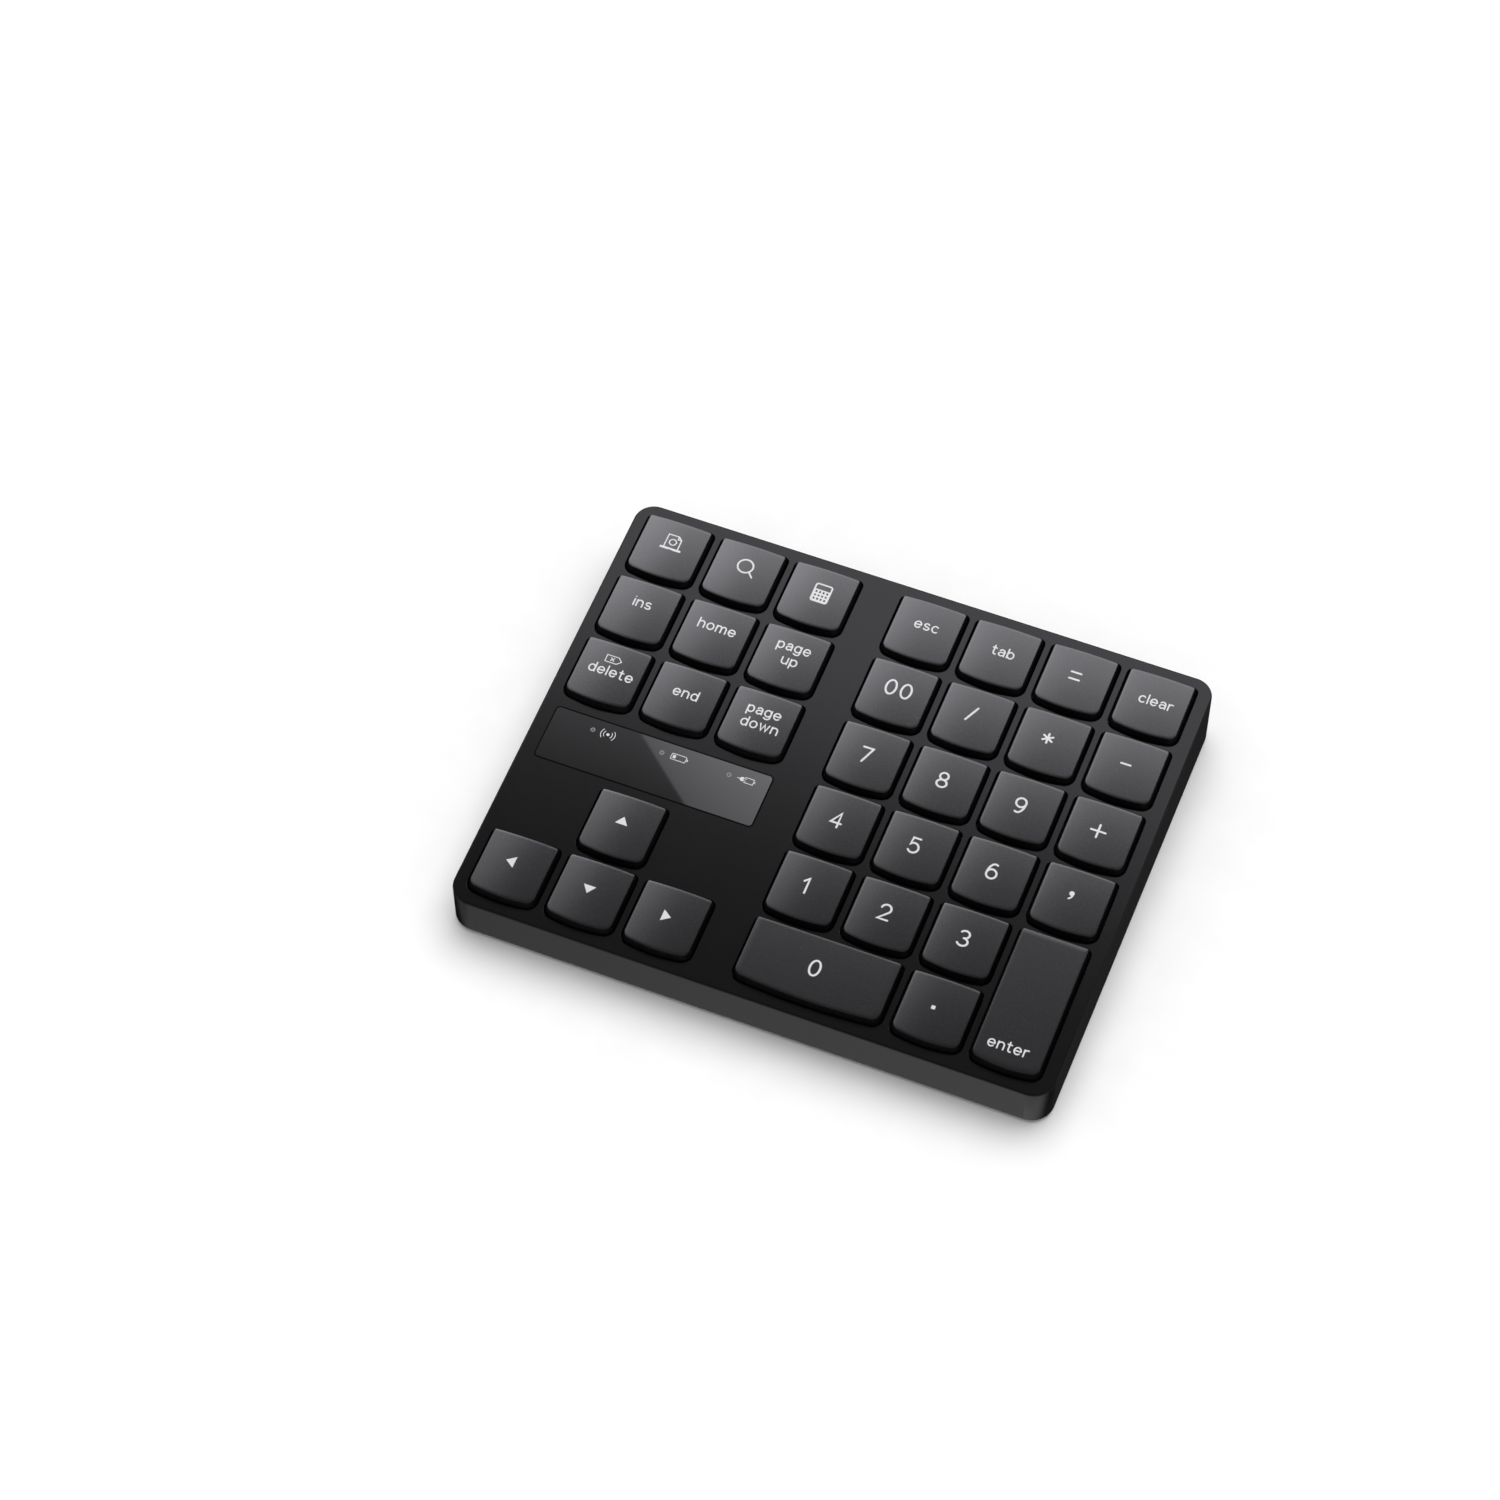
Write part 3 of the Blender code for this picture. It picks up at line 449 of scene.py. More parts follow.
def ribbon(points, width, closed=False):
    """The flat faces of a stroke along a path, with round ends."""
    count = len(points)
    left, right = [], []
    for i, (x, y) in enumerate(points):
        before = points[i - 1] if closed or i else (x, y)
        after = points[(i + 1) % count] if closed or i < count - 1 else (x, y)
        back = Vector((x - before[0], y - before[1]))
        on = Vector((after[0] - x, after[1] - y))
        back = back.normalized() if back.length else on.normalized()
        on = on.normalized() if on.length else back
        along = (back + on).normalized()
        reach = width / 2 / max(along.dot(on), 0.5)
        left.append((x - along.y * reach, y + along.x * reach))
        right.append((x + along.y * reach, y - along.x * reach))
    pairs = [(i, (i + 1) % count) for i in range(count if closed else count - 1)]
    faces = [[left[j], left[i], right[i], right[j]] for i, j in pairs]
    if not closed:
        for x, y in (points[0], points[-1]):
            faces.append(circle(x, y, width / 2, 12))
    return faces


def joined(faces):
    """The union of flat faces, as points and triangles."""
    points, loops = [], []
    for face in faces:
        loops.append(list(range(len(points), len(points) + len(face))))
        points += [Vector((x / MM, y / MM)) for x, y in face]
    out_points, _e, triangles, _ov, _oe, owners = geometry.delaunay_2d_cdt(points, [], loops, 1, 1e-5)
    return [(p.x * MM, p.y * MM) for p in out_points], [t for t, who in zip(triangles, owners) if who]


def printed(name, faces, surface, material, lift=PRINT_LIFT):
    """A thin closed layer of print over a surface, which gives the height at x, y."""
    points, triangles = joined(faces)
    bm = bmesh.new()
    top = [bm.verts.new((x, y, surface(x, y) + lift)) for x, y in points]
    low = [bm.verts.new((x, y, surface(x, y) + lift - PRINT_DEPTH)) for x, y in points]
    sides = {}
    for triangle in triangles:
        bm.faces.new([top[i] for i in triangle])
        bm.faces.new([low[i] for i in reversed(triangle)])
        sides.update(dict.fromkeys(zip(triangle, triangle[1:] + triangle[:1])))
    for i, j in sides:
        if (j, i) not in sides:
            bm.faces.new((top[j], top[i], low[i], low[j]))
    loose = [v for v in bm.verts if not v.link_faces]
    bmesh.ops.delete(bm, geom=loose, context="VERTS")
    return to_object(name, bm, material)


def ellipse(cx, cy, rx, ry):
    """A closed stroke."""
    return ("closed", arc(cx, cy, rx, ry, 0, 345, 23))


def bend(cx, cy, rx, ry, start, end):
    return arc(cx, cy, rx, ry, start, end, max(3, round(abs(end - start) / 15)))


ARCH = bend(0.4, 0.6, 0.4, 0.4, 180, 0) + [(0.8, 0.0)]
BOWL = ellipse(0.42, 0.5, 0.42, 0.5)
STEM, TALL_STEM = [(0, 0), (0, 1)], [(0, 0), (0, 1.42)]

# Each letter's strokes, on a grid where the small letters' strokes run from 0 to 1, and its width.
LETTERS = {
    "a": ([[(0.74, 0)] + bend(0.38, 0.64, 0.36, 0.36, 0, 150),
           [(0.74, 0.57), (0.34, 0.57)] + bend(0.34, 0.285, 0.34, 0.285, 90, 270) + [(0.74, 0.22)]], 0.74),
    "b": ([TALL_STEM, BOWL], 0.84),
    "c": ([bend(0.43, 0.5, 0.43, 0.5, 48, 312)], 0.74),
    "d": ([[(0.84, 0), (0.84, 1.42)], BOWL], 0.84),
    "e": ([[(0, 0.5), (0.86, 0.5)], bend(0.43, 0.5, 0.43, 0.5, 0, 318)], 0.86),
    "g": ([BOWL, [(0.84, 1)] + bend(0.42, -0.08, 0.42, 0.36, 0, -145)], 0.84),
    "h": ([TALL_STEM, ARCH], 0.8),
    "i": ([STEM, [(0, 1.4), (0, 1.41)]], 0),
    "l": ([TALL_STEM], 0),
    "m": ([STEM, bend(0.33, 0.62, 0.33, 0.38, 180, 0) + [(0.66, 0)],
           bend(0.99, 0.62, 0.33, 0.38, 180, 0) + [(1.32, 0)]], 1.32),
    "n": ([STEM, ARCH], 0.8),
    "o": ([ellipse(0.45, 0.5, 0.45, 0.5)], 0.9),
    "p": ([[(0, -0.42), (0, 1)], BOWL], 0.84),
    "r": ([STEM, bend(0.42, 0.58, 0.42, 0.42, 180, 75)], 0.48),
    "s": ([bend(0.36, 0.75, 0.32, 0.25, 35, 270) + bend(0.36, 0.25, 0.36, 0.25, 90, -150)], 0.72),
    "t": ([[(0.22, 1.36)] + bend(0.48, 0.26, 0.26, 0.26, 180, 290), [(0, 1), (0.52, 1)]], 0.56),
    "u": ([[(0, 1)] + bend(0.4, 0.4, 0.4, 0.4, 180, 360) + [(0.8, 1)], [(0.8, 1), (0.8, 0)]], 0.8),
    "w": ([[(0, 1), (0.31, 0), (0.62, 1), (0.93, 0), (1.24, 1)]], 1.24),
}

# Each digit's strokes, on a grid where they run from 0 to 1, all of one width.
DIGIT_WIDTH = 0.6
SIX = [ellipse(0.3, 0.31, 0.3, 0.31), bend(0.36, 0.31, 0.36, 0.69, 180, 70)]
DIGITS = {
    "0": [ellipse(0.3, 0.5, 0.3, 0.5)],
    "1": [[(0.05, 0.76), (0.3, 1), (0.3, 0)]],
    "2": [bend(0.3, 0.7, 0.29, 0.3, 170, -28) + [(0, 0), (0.6, 0)]],
    "3": [bend(0.29, 0.755, 0.27, 0.245, 150, -90), bend(0.29, 0.255, 0.31, 0.255, 90, -152)],
    "4": [[(0.45, 0), (0.45, 1), (0, 0.29), (0.62, 0.29)]],
    "5": [[(0.54, 1), (0.11, 1), (0.06, 0.53)] + bend(0.29, 0.33, 0.31, 0.33, 125, -145)],
    "6": SIX,
    "7": [[(0, 1), (0.6, 1), (0.19, 0)]],
    "8": [ellipse(0.3, 0.755, 0.25, 0.245), ellipse(0.3, 0.255, 0.3, 0.255)],
    "9": [("closed", [(0.6 - x, 1 - y) for x, y in SIX[0][1]]), [(0.6 - x, 1 - y) for x, y in SIX[1]]],
}


def stroke_faces(strokes, scale, width, x, y):
    """Strokes on a unit grid, scaled, moved and given a width."""
    faces = []
    for stroke in strokes:
        closed = stroke[0] == "closed"
        faces += ribbon(moved(stroke[1] if closed else stroke, x, y, scale), width, closed)
    return faces


def word(x, y, text):
    """A word in small letters, its middle at x and the middle of its small letters at y."""
    scale = LETTER_HEIGHT - LETTER_STROKE
    length = sum(LETTERS[c][1] * scale for c in text) + LETTER_GAP * (len(text) - 1)
    left = x - length / 2
    faces = []
    for c in text:
        strokes, width = LETTERS[c]
        faces += stroke_faces(strokes, scale, LETTER_STROKE, left, y - scale / 2)
        left += width * scale + LETTER_GAP
    return faces


def number(x, y, text):
    """Digits, their middle at x, y."""
    scale = DIGIT_HEIGHT - DIGIT_STROKE
    pitch = DIGIT_WIDTH * scale + DIGIT_GAP
    left = x - (pitch * (len(text) - 1) + DIGIT_WIDTH * scale) / 2
    faces = []
    for i, c in enumerate(text):
        faces += stroke_faces(DIGITS[c], scale, DIGIT_STROKE, left + i * pitch, y - scale / 2)
    return faces


def lines(x, y, *paths, width=DIGIT_STROKE):
    """Strokes given in millimetres around x, y."""
    return stroke_faces(paths, MM, width, x, y)


def triangle(x, y, turn):
    """A pointer with rounded corners. A turn of 0 points to the rear."""
    corners = [(0, 1.0), (-1.25, -0.75), (1.25, -0.75)]
    c, s = math.cos(math.radians(turn)), math.sin(math.radians(turn))
    points = [((px * c - py * s) * MM + x, (px * s + py * c) * MM + y) for px, py in corners]
    return [points] + ribbon(points, 0.3 * MM, True) + [circle(px, py, 0.15 * MM, 10) for px, py in points]


def asterisk(x, y, arms=6, reach=1.3):
    angles = [2 * math.pi * i / arms for i in range(arms)]
    paths = [[(0, 0), (reach * math.sin(a), reach * math.cos(a))] for a in angles]
    return lines(x, y, *paths, width=0.5 * MM)


def comma(x, y):
    tail = [(0.28, 0.62), (0.32, 0.2), (0.12, -0.35), (-0.35, -0.8)]
    return [circle(x, y + 0.7 * MM, 0.62 * MM, 18)] + lines(x, y, tail, width=0.42 * MM)


def magnifier(x, y):
    return lines(x, y, ("closed", circle(0, 0, 1.9, 30)), [(1.36, -1.36), (2.5, -2.6)], width=0.42 * MM)


def calculator(x, y):
    """A rounded body with a screen and a grid of keys left open, built from strokes."""
    faces = lines(x, y, ("closed", rounded_box(2.0, 2.5, 0.5, 5)), width=0.4 * MM)
    half_width = 2.0
    for low, high in ((-2.5, -2.05), (-1.5, -1.05), (-0.5, -0.05), (0.55, 0.95)):
        faces.append(moved(box_outline((-half_width, half_width), (low, high)), x, y, MM))
    half_bar, pitch = 0.22, 0.9
    for i in range(-2, 3):
        faces.append(moved(box_outline((-half_bar, half_bar), (-2.4, 0.6)), x + i * pitch * MM, y, MM))
    return faces


def screen_copy(x, y):
    """A page with a folded corner and a round picture on it, standing in a flat tray."""
    page = [(-1.75, -1.5), (-1.75, 2.15), (0.85, 2.15), (1.75, 1.3), (1.75, -1.5)]
    fold = [(0.85, 2.15), (0.85, 1.3), (1.75, 1.3)]
    picture = ellipse(-0.05, 0.15, 0.85, 0.85)
    tray = lines(x, y, [(-2.4, -1.85), (2.4, -1.85)], width=0.6 * MM)
    return lines(x, y, page, fold, picture, width=0.3 * MM) + tray


def erase_mark(x, y):
    """A tag that points to the right, with a cross in it."""
    tag = [(-1.95, -0.95), (-1.95, 0.95), (0.95, 0.95), (1.9, 0.0), (0.95, -0.95)]
    cross_x, reach = -0.35, 0.42
    arms = [[(cross_x - reach, -end), (cross_x + reach, end)] for end in (reach, -reach)]
    return lines(x, y, ("closed", tag), *arms, width=0.22 * MM)


def full_stop(x, y):
    return [moved(rounded_box(0.47 * MM, 0.47 * MM, 0.1 * MM, 3), x, y)]


# What draws each key's print, its place in millimetres from the key's middle, and what else it needs.
KEY_MARKS = {
    "key_print_screen": [(screen_copy, 0.3, 2.0)],
    "key_search": [(magnifier, 0, 2.0)],
    "key_calculator": [(calculator, 0.7, 1.2)],
    "key_insert": [(word, 0.2, 1.9, "ins")],
    "key_home": [(word, 0.2, 1.9, "home")],
    "key_page_up": [(word, 0.3, 3.2, "page"), (word, 0.6, -0.8, "up")],
    "key_delete": [(erase_mark, 0, 3.75), (word, 0.6, 0.1, "delete")],
    "key_end": [(word, 0.3, 0.9, "end")],
    "key_page_down": [(word, 0.3, 2.9, "page"), (word, 0.6, -1.1, "down")],
    "key_escape": [(word, 0.2, 1.3, "esc")],
    "key_tab": [(word, 0.6, 0.8, "tab")],
    "key_clear": [(word, 0.6, 0.6, "clear")],
    "key_enter": [(word, -0.6, -12.8, "enter")],
    "key_equals": [(lines, -0.4, 0.95, [(-1.2, 0.95), (1.2, 0.95)], [(-1.2, -0.95), (1.2, -0.95)])],
    "key_divide": [(lines, -0.4, 1.15, [(-0.95, -1.95), (0.95, 1.95)])],
    "key_multiply": [(asterisk, -0.6, 1.2)],
    "key_minus": [(lines, -0.4, 1.06, [(-1.15, 0), (1.15, 0)])],
    "key_plus": [(lines, -0.4, 0.55, [(-1.75, 0), (1.75, 0)], [(0, -1.75), (0, 1.75)])],
    "key_comma": [(comma, -0.5, 0.9)],
    "key_decimal": [(full_stop, -0.65, 0.33)],
    "key_arrow_up": [(triangle, -0.2, 1.3, 0)],
    "key_arrow_left": [(triangle, -0.8, 1.1, 90)],
    "key_arrow_down": [(triangle, -0.5, 0.8, 180)],
    "key_arrow_right": [(triangle, -0.4, 0.5, 270)],
    "key_double_zero": [(number, 0.3, 1.4, "00")],
    "key_0": [(number, -0.5, 0.1, "0")],
}
for digit in "123456789":
    KEY_MARKS["key_" + digit] = [(number, -0.4, 0.6, digit)]


# ---------- keys


def key_measures(node):
    """A key's middle, the size of its top face, and its top level."""
    low, high = deck_box(node)
    return (*middle_of(node), high.x - low.x - 2 * SKIRT_FLARE, high.y - low.y - 2 * SKIRT_FLARE, high.z)


def crown_height(width, depth, top):
    """A key's top surface: highest in the middle, and nearly flat on a long key."""
    across, along = KEY_CROWN if max(width, depth) < LONG_KEY else LONG_KEY_CROWN

    def height(x, y):
        return top - across * (2 * x / width) ** 2 - along * (2 * y / depth) ** 2

    return height


def keycap(node):
    """A hollow cap with a crowned top and rounded edges, and its guide stem, as one closed body."""
    _x, _y, width, depth, top = key_measures(node)
    surface = crown_height(width, depth, top)
    wide, rounded, flared, rim = (key_outline(width, depth, grow) for grow in (
        SKIRT_FLARE, SKIRT_FLARE - SKIRT_ROUNDING, SKIRT_FLARE - 0.05 * MM, -KEY_EDGE_RADIUS))
    hollow = [(x * (1 - 2 * SKIRT_WALL / (width + 2 * SKIRT_FLARE)),
               y * (1 - 2 * SKIRT_WALL / (depth + 2 * SKIRT_FLARE))) for x, y in wide]
    stem = [(x * STEM_HALF / max(abs(x), abs(y)), y * STEM_HALF / max(abs(x), abs(y))) for x, y in wide]
    levels = ((stem, STEM_BOTTOM), (stem, CEILING), (hollow, CEILING), (hollow, SKIRT_BOTTOM + 0.1 * MM),
              (rounded, SKIRT_BOTTOM), (wide, SKIRT_BOTTOM + SKIRT_ROUNDING),
              (wide, SKIRT_SHOULDER - 0.2 * MM), (flared, SKIRT_SHOULDER + 0.1 * MM))
    rings = [ring(outline, level) for outline, level in levels]
    for inset, drop in reversed(quarter(KEY_EDGE_RADIUS, 6)):
        rings.append([(x, y, surface(x, y) - drop) for x, y in key_outline(width, depth, -inset)])
    for share in (0.93, 0.84, 0.72, 0.58, 0.42, 0.24, 0.06):
        rings.append([(x * share, y * share, surface(x * share, y * share)) for x, y in rim])
    bm = bmesh.new()
    skin(bm, rings, True, True)
    if max(width, depth) > LONG_KEY:
        add_eyes(bm, depth > width)
    return to_object(node + "_cap", bm, KEY_FINISH, square_faces=False)


def add_eyes(bm, lengthwise):
    """Under a long key, the two eyes that the ends of its stabilizer bar turn in."""
    low, high = deck_box("stabilizer_bar_0")
    hole_y, hole_z = high.y - 0.5 * MM - middle_of("key_0")[1], high.z - 0.5 * MM
    reach = (high.x - low.x) / 2 - 0.9 * MM
    half_width, half_hole, below, half_height, half_thickness = (v * MM for v in (1.7, 1.0, 1.1, 0.8, 0.4))
    outer = box_outline((hole_y - half_width, hole_y + half_width), (hole_z - below, CEILING + 0.1 * MM))
    inner = box_outline((hole_y - half_hole, hole_y + half_hole),
                        (hole_z - half_height, hole_z + half_height))
    for middle in (-reach, reach):
        loops = []
        for outline, side in ((outer, -1), (outer, 1), (inner, 1), (inner, -1)):
            along = middle + side * half_thickness
            loops.append(add_ring(bm, [(-across, along, z) if lengthwise else (along, across, z)
                                       for across, z in outline]))
        bridge(bm, loops + [loops[0]])


def make_keys():
    for node in KEYS:
        x, y, width, depth, top = key_measures(node)
        cap = keycap(node)
        faces = [face for draw, mark_x, mark_y, *rest in KEY_MARKS[node]
                 for face in draw(mark_x * MM, mark_y * MM, *rest)]
        mark = printed(node + "_print", faces, crown_height(width, depth, top), PRINT_FINISH)
        for piece in (cap, mark):
            piece.data.transform(Matrix.Translation((x, y, 0)))
        place(cap, node, "key_plastic", node)
        place(mark, node, PRINT_SLOT)


def make_dome_base():
    """The flat part of the silicone sheet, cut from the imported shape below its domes."""
    bm = bmesh.new()
    bm.from_mesh(frame["nodes"]["dome_sheet"].data)
    bm.transform(TO_ROW.inverted())
    cut = bmesh.ops.bisect_plane(bm, geom=[*bm.verts, *bm.edges, *bm.faces], plane_co=(0, 0, DOME_FOOT),
                                 plane_no=(0, 0, 1), clear_outer=True)
    rim = [part for part in cut["geom_cut"] if isinstance(part, bmesh.types.BMEdge)]
    bmesh.ops.triangle_fill(bm, use_beauty=True, edges=rim)
    place(to_object("dome_base", bm, SILICONE), "case", "silicone", "dome_sheet")


def make_domes():
    """A hollow dome under each key, fixed to the case."""
    wall, rounding = 0.8 * MM, 0.3 * MM
    foot_radius, top_radius = 4.0 * MM, 2.2 * MM
    profile = [(top_radius - wall, DOME_TOP - wall), (foot_radius - wall, DOME_FOOT),
               (foot_radius, DOME_FOOT)]
    profile += [(top_radius - inset, DOME_TOP - drop) for inset, drop in reversed(quarter(rounding, 3))]
    for node in KEYS:
        x, y = middle_of(node)
        dome = place(lofted(node + "_dome", turned(x, y, profile, 20), SILICONE), "case", "silicone")
        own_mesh(dome)


# ---------- case


def strip_outline(grow):
    low, high = deck_box("indicator_window")
    radius = max(1.0 * MM + grow, 0.2 * MM)
    return rounded_rectangle((low.x - grow, high.x + grow), (low.y - grow, high.y + grow), radius, radius, 8)


def make_top_case():
    """The deck with its openings and the walls, with every outer edge rounded."""
    bm = bmesh.new()
    rings = [ring(case_outline(WALL), -DECK_THICKNESS), ring(case_outline(WALL), floor_level)]
    rings += [ring(case_outline(inset), above_floor(rise)) for inset, rise in quarter(FOOT_EDGE_RADIUS, 4)]
    rings += [ring(case_outline(inset), -drop) for inset, drop in reversed(quarter(EDGE_RADIUS, 8))]
    walls = skin(bm, rings)
    openings = []
    for node in KEYS:
        x, y, width, depth, _top = key_measures(node)
        openings.append(skin(bm, [
            ring(moved(key_outline(width, depth, SKIRT_FLARE + OPENING_GAP + grow), x, y), -drop)
            for grow, drop in quarter(OPENING_RIM, 3) + [(0, DECK_THICKNESS)]]))
    strip_gap, bevel, strip_depth, ledge = 0.12 * MM, 0.12 * MM, 1.0 * MM, -1.0 * MM
    openings.append(skin(bm, [ring(strip_outline(grow), -drop) for grow, drop in (
        (strip_gap + bevel, 0), (strip_gap, bevel), (strip_gap, strip_depth), (ledge, strip_depth),
        (ledge, DECK_THICKNESS))]))
    boss_radius, boss_end, hole_end = 2.3 * MM, -8.0 * MM, -1.9 * MM
    boss = ((boss_radius, -DECK_THICKNESS), (boss_radius, boss_end), (SCREW_HOLE_RADIUS, boss_end),
            (SCREW_HOLE_RADIUS, hole_end))
    bosses = [skin(bm, turned(*middle_of(node), boss, 24), cap_last=True) for node in SCREWS]
    fill_plane(bm, walls[-1], [loops[0] for loops in openings])
    fill_plane(bm, walls[0], [loops[-1] for loops in openings] + [loops[0] for loops in bosses])
    case = to_object("top_shell", bm, CASE_FINISH)
    low, high = deck_box("usb_c_socket")
    socket_slot = stadium(high.y - low.y + 2 * GAP, high.z - low.z + 2 * GAP)
    switch_slot = rounded_box(2.85 * MM, 1.3 * MM, 0.4 * MM, 4)
    cut_away(case, [side_cutter("usb_c_socket", socket_slot),
                    side_cutter("power_switch_slider", switch_slot, SWITCH_TRAVEL / 2)])
    flatten_square_faces(place(case, "case", "case_plastic", "top_case").data)


def side_cutter(node, outline, shift=0.0):
    """A cutter through the left wall at a node's place, a little wider outside."""
    low, high = deck_box(node)
    y, z = (low.y + high.y) / 2 + shift, (low.z + high.z) / 2
    wall, flare = -CASE_WIDTH / 2, 0.25 * MM
    rings = [[(x, y + a * (1 + 2 * wider / (high.y - low.y)), z + b * (1 + wider / MM)) for a, b in outline]
             for x, wider in ((wall - MM, flare), (wall - 0.01 * MM, flare), (wall + flare, 0),
                              (wall + WALL + MM, 0))]
    return lofted("cutter_" + node, rings, CASE_FINISH)


def make_tray():
    """The bottom: a plate with recesses for the feet, countersunk screws and a blank label field."""
    bm = bmesh.new()
    edge = skin(bm, [ring(case_outline(WALL + GAP + inset), above_floor(rise))
                     for inset, rise in [(0, BOTTOM_THICKNESS)] + quarter(0.3 * MM, 3)[::-1]])
    bevel, recess_depth = 0.3 * MM, 0.8 * MM
    holes_low, holes_high = [], []
    for node in FEET:
        low, high = deck_box(node)
        radius = (high.x - low.x) / 2 + GAP
        profile = ((radius + bevel, 0), (radius, bevel), (radius, recess_depth))
        holes_low.append(skin(bm, turned(*middle_of(node), profile, 48, above_floor), cap_last=True)[0])
    bevel, head_radius = 0.2 * MM, 2.3 * MM
    profile = ((2.5 * MM, 0), (head_radius, bevel), (head_radius, recess_depth),
               (SCREW_HOLE_RADIUS, recess_depth), (SCREW_HOLE_RADIUS, BOTTOM_THICKNESS))
    for node in SCREWS:
        hole = skin(bm, turned(*middle_of(node), profile, 32, above_floor))
        holes_low.append(hole[0])
        holes_high.append(hole[-1])
    left, right, front, rear, corner = (v * MM for v in (14, 58, -14, 12, 1.5))
    field = [ring(rounded_rectangle((left - grow, right + grow), (front - grow, rear + grow), corner + grow,
                                    corner + grow, 8), above_floor(rise))
             for grow, rise in ((bevel, 0), (0, bevel))]
    holes_low.append(skin(bm, field, cap_last=True)[0])
    fill_plane(bm, edge[-1], holes_low)
    fill_plane(bm, edge[0], holes_high)
    tray = to_object("bottom_tray", bm, CASE_FINISH, square_faces=False)
    flatten_square_faces(place(tray, "case", "case_plastic", "bottom_case").data)


def make_feet():
    """Rubber pads with a rounded edge and a shallow ring in the face that grips."""
    bottom, top, groove = -1.0 * MM, 0.5 * MM, 0.15 * MM
    for node in FEET:
        low, high = deck_box(node)
        radius = (high.x - low.x) / 2
        profile = [(radius * share, bottom + rise)
                   for share, rise in ((0.55, 0), (0.6, groove), (0.66, groove), (0.71, 0))]
        profile += [(radius - inset, bottom + rise) for inset, rise in quarter(0.4 * MM, 5)]
        rings = turned(*middle_of(node), profile + [(radius, top)], 48, above_floor)
        place(lofted(node + "_pad", rings, RUBBER, square_faces=False), "case", "rubber", node)


def cross(size, width):
    """The outline of a cross recess with round ends, counterclockwise."""
    points = []
    reach, waist = size - width, width * 1.6
    for angle in (0, 90, 180, 270):
        a, inner = math.radians(angle), math.radians(angle + 45)
        points += arc(reach * math.cos(a), reach * math.sin(a), width, width, angle - 90, angle + 90, 4)
        points.append((waist * math.cos(inner), waist * math.sin(inner)))
    return points


def make_screws():
    """Pan heads with a cross recess, let into the bottom."""
    shank_radius = 1.0 * MM
    for node in SCREWS:
        low, high = deck_box(node)
        x, y = middle_of(node)
        head = (high.x - low.x) / 2
        profile = ((head - 0.35 * MM, 0), (head - 0.08 * MM, 0.1 * MM), (head, 0.3 * MM), (head, 0.5 * MM),
                   (shank_radius, 0.65 * MM))
        bm = bmesh.new()
        body = skin(bm, turned(x, y, profile, 32, above_floor) + turned(x, y, [(shank_radius, high.z)], 32),
                    cap_last=True)
        recess = skin(bm, [ring(moved(cross(size, width), x, y), above_floor(depth)) for size, width, depth in
                           ((1.15 * MM, 0.26 * MM, 0), (0.7 * MM, 0.14 * MM, 0.6 * MM))], cap_last=True)
        fill_plane(bm, body[0], [recess[0]])
        place(to_object(node + "_head", bm, SCREW_STEEL, square_faces=False), "case", "steel", node)


# ---------- status strip, socket and switch

ICON_STROKE = 0.17 * MM


def make_window():
    """The glossy strip, with the light posts under it."""
    low, _high = deck_box("indicator_window")
    thickness, post_radius = 0.9 * MM, 1.1 * MM
    bm = bmesh.new()
    strip = skin(bm, [ring(strip_outline(-inset), -drop) for inset, drop in
                      [(0, thickness)] + quarter(0.15 * MM, 3)[::-1]], cap_last=True)
    post = ((post_radius, -thickness), (post_radius, low.z))
    posts = [skin(bm, turned(*middle_of(node), post, 24), cap_last=True)[0] for node in LEDS]
    fill_plane(bm, strip[0], posts)
    place(to_object("status_window", bm, WINDOW_FINISH), "case", "smoked_plastic", "indicator_window")


def cell(x, y, share):
    """A lying battery: its outline, its terminal on the right, and how full it is."""
    shell = rounded_rectangle((-2.0, 1.6), (-0.8, 0.8), 0.2, 0.2, 3)
    charge = box_outline((-1.65, -1.65 + 2.9 * share), (-0.45, 0.45))
    return (lines(x, y, ("closed", shell), width=ICON_STROKE)
            + lines(x, y, [(1.95, -0.25), (1.95, 0.25)], width=0.26 * MM) + [moved(charge, x, y, MM)])


def radio_mark(x, y):
    arcs = [bend(0, 0, r, r, a - 42, a + 42) for r in (1.05, 1.75) for a in (0, 180)]
    return lines(x, y, *arcs, width=ICON_STROKE) + [circle(x, y, 0.38 * MM, 16)]


def charge_mark(x, y):
    """A battery with a plug in its left end."""
    shell = [(-0.2, 0.72), (2.0, 0.72), (2.0, -0.72), (-0.2, -0.72)]
    plug = [(-0.5, 0.62), (-1.1, 0.52), (-1.5, 0.0), (-1.1, -0.52), (-0.5, -0.62)]
    lead, terminal = [(-1.5, 0), (-2.0, 0)], [(2.3, -0.2), (2.3, 0.2)]
    prongs = [[(-0.5, side), (0.15, side)] for side in (0.3, -0.3)]
    return lines(x, y, shell, lead, terminal, *prongs, width=ICON_STROKE) + [moved(plug, x, y, MM)]


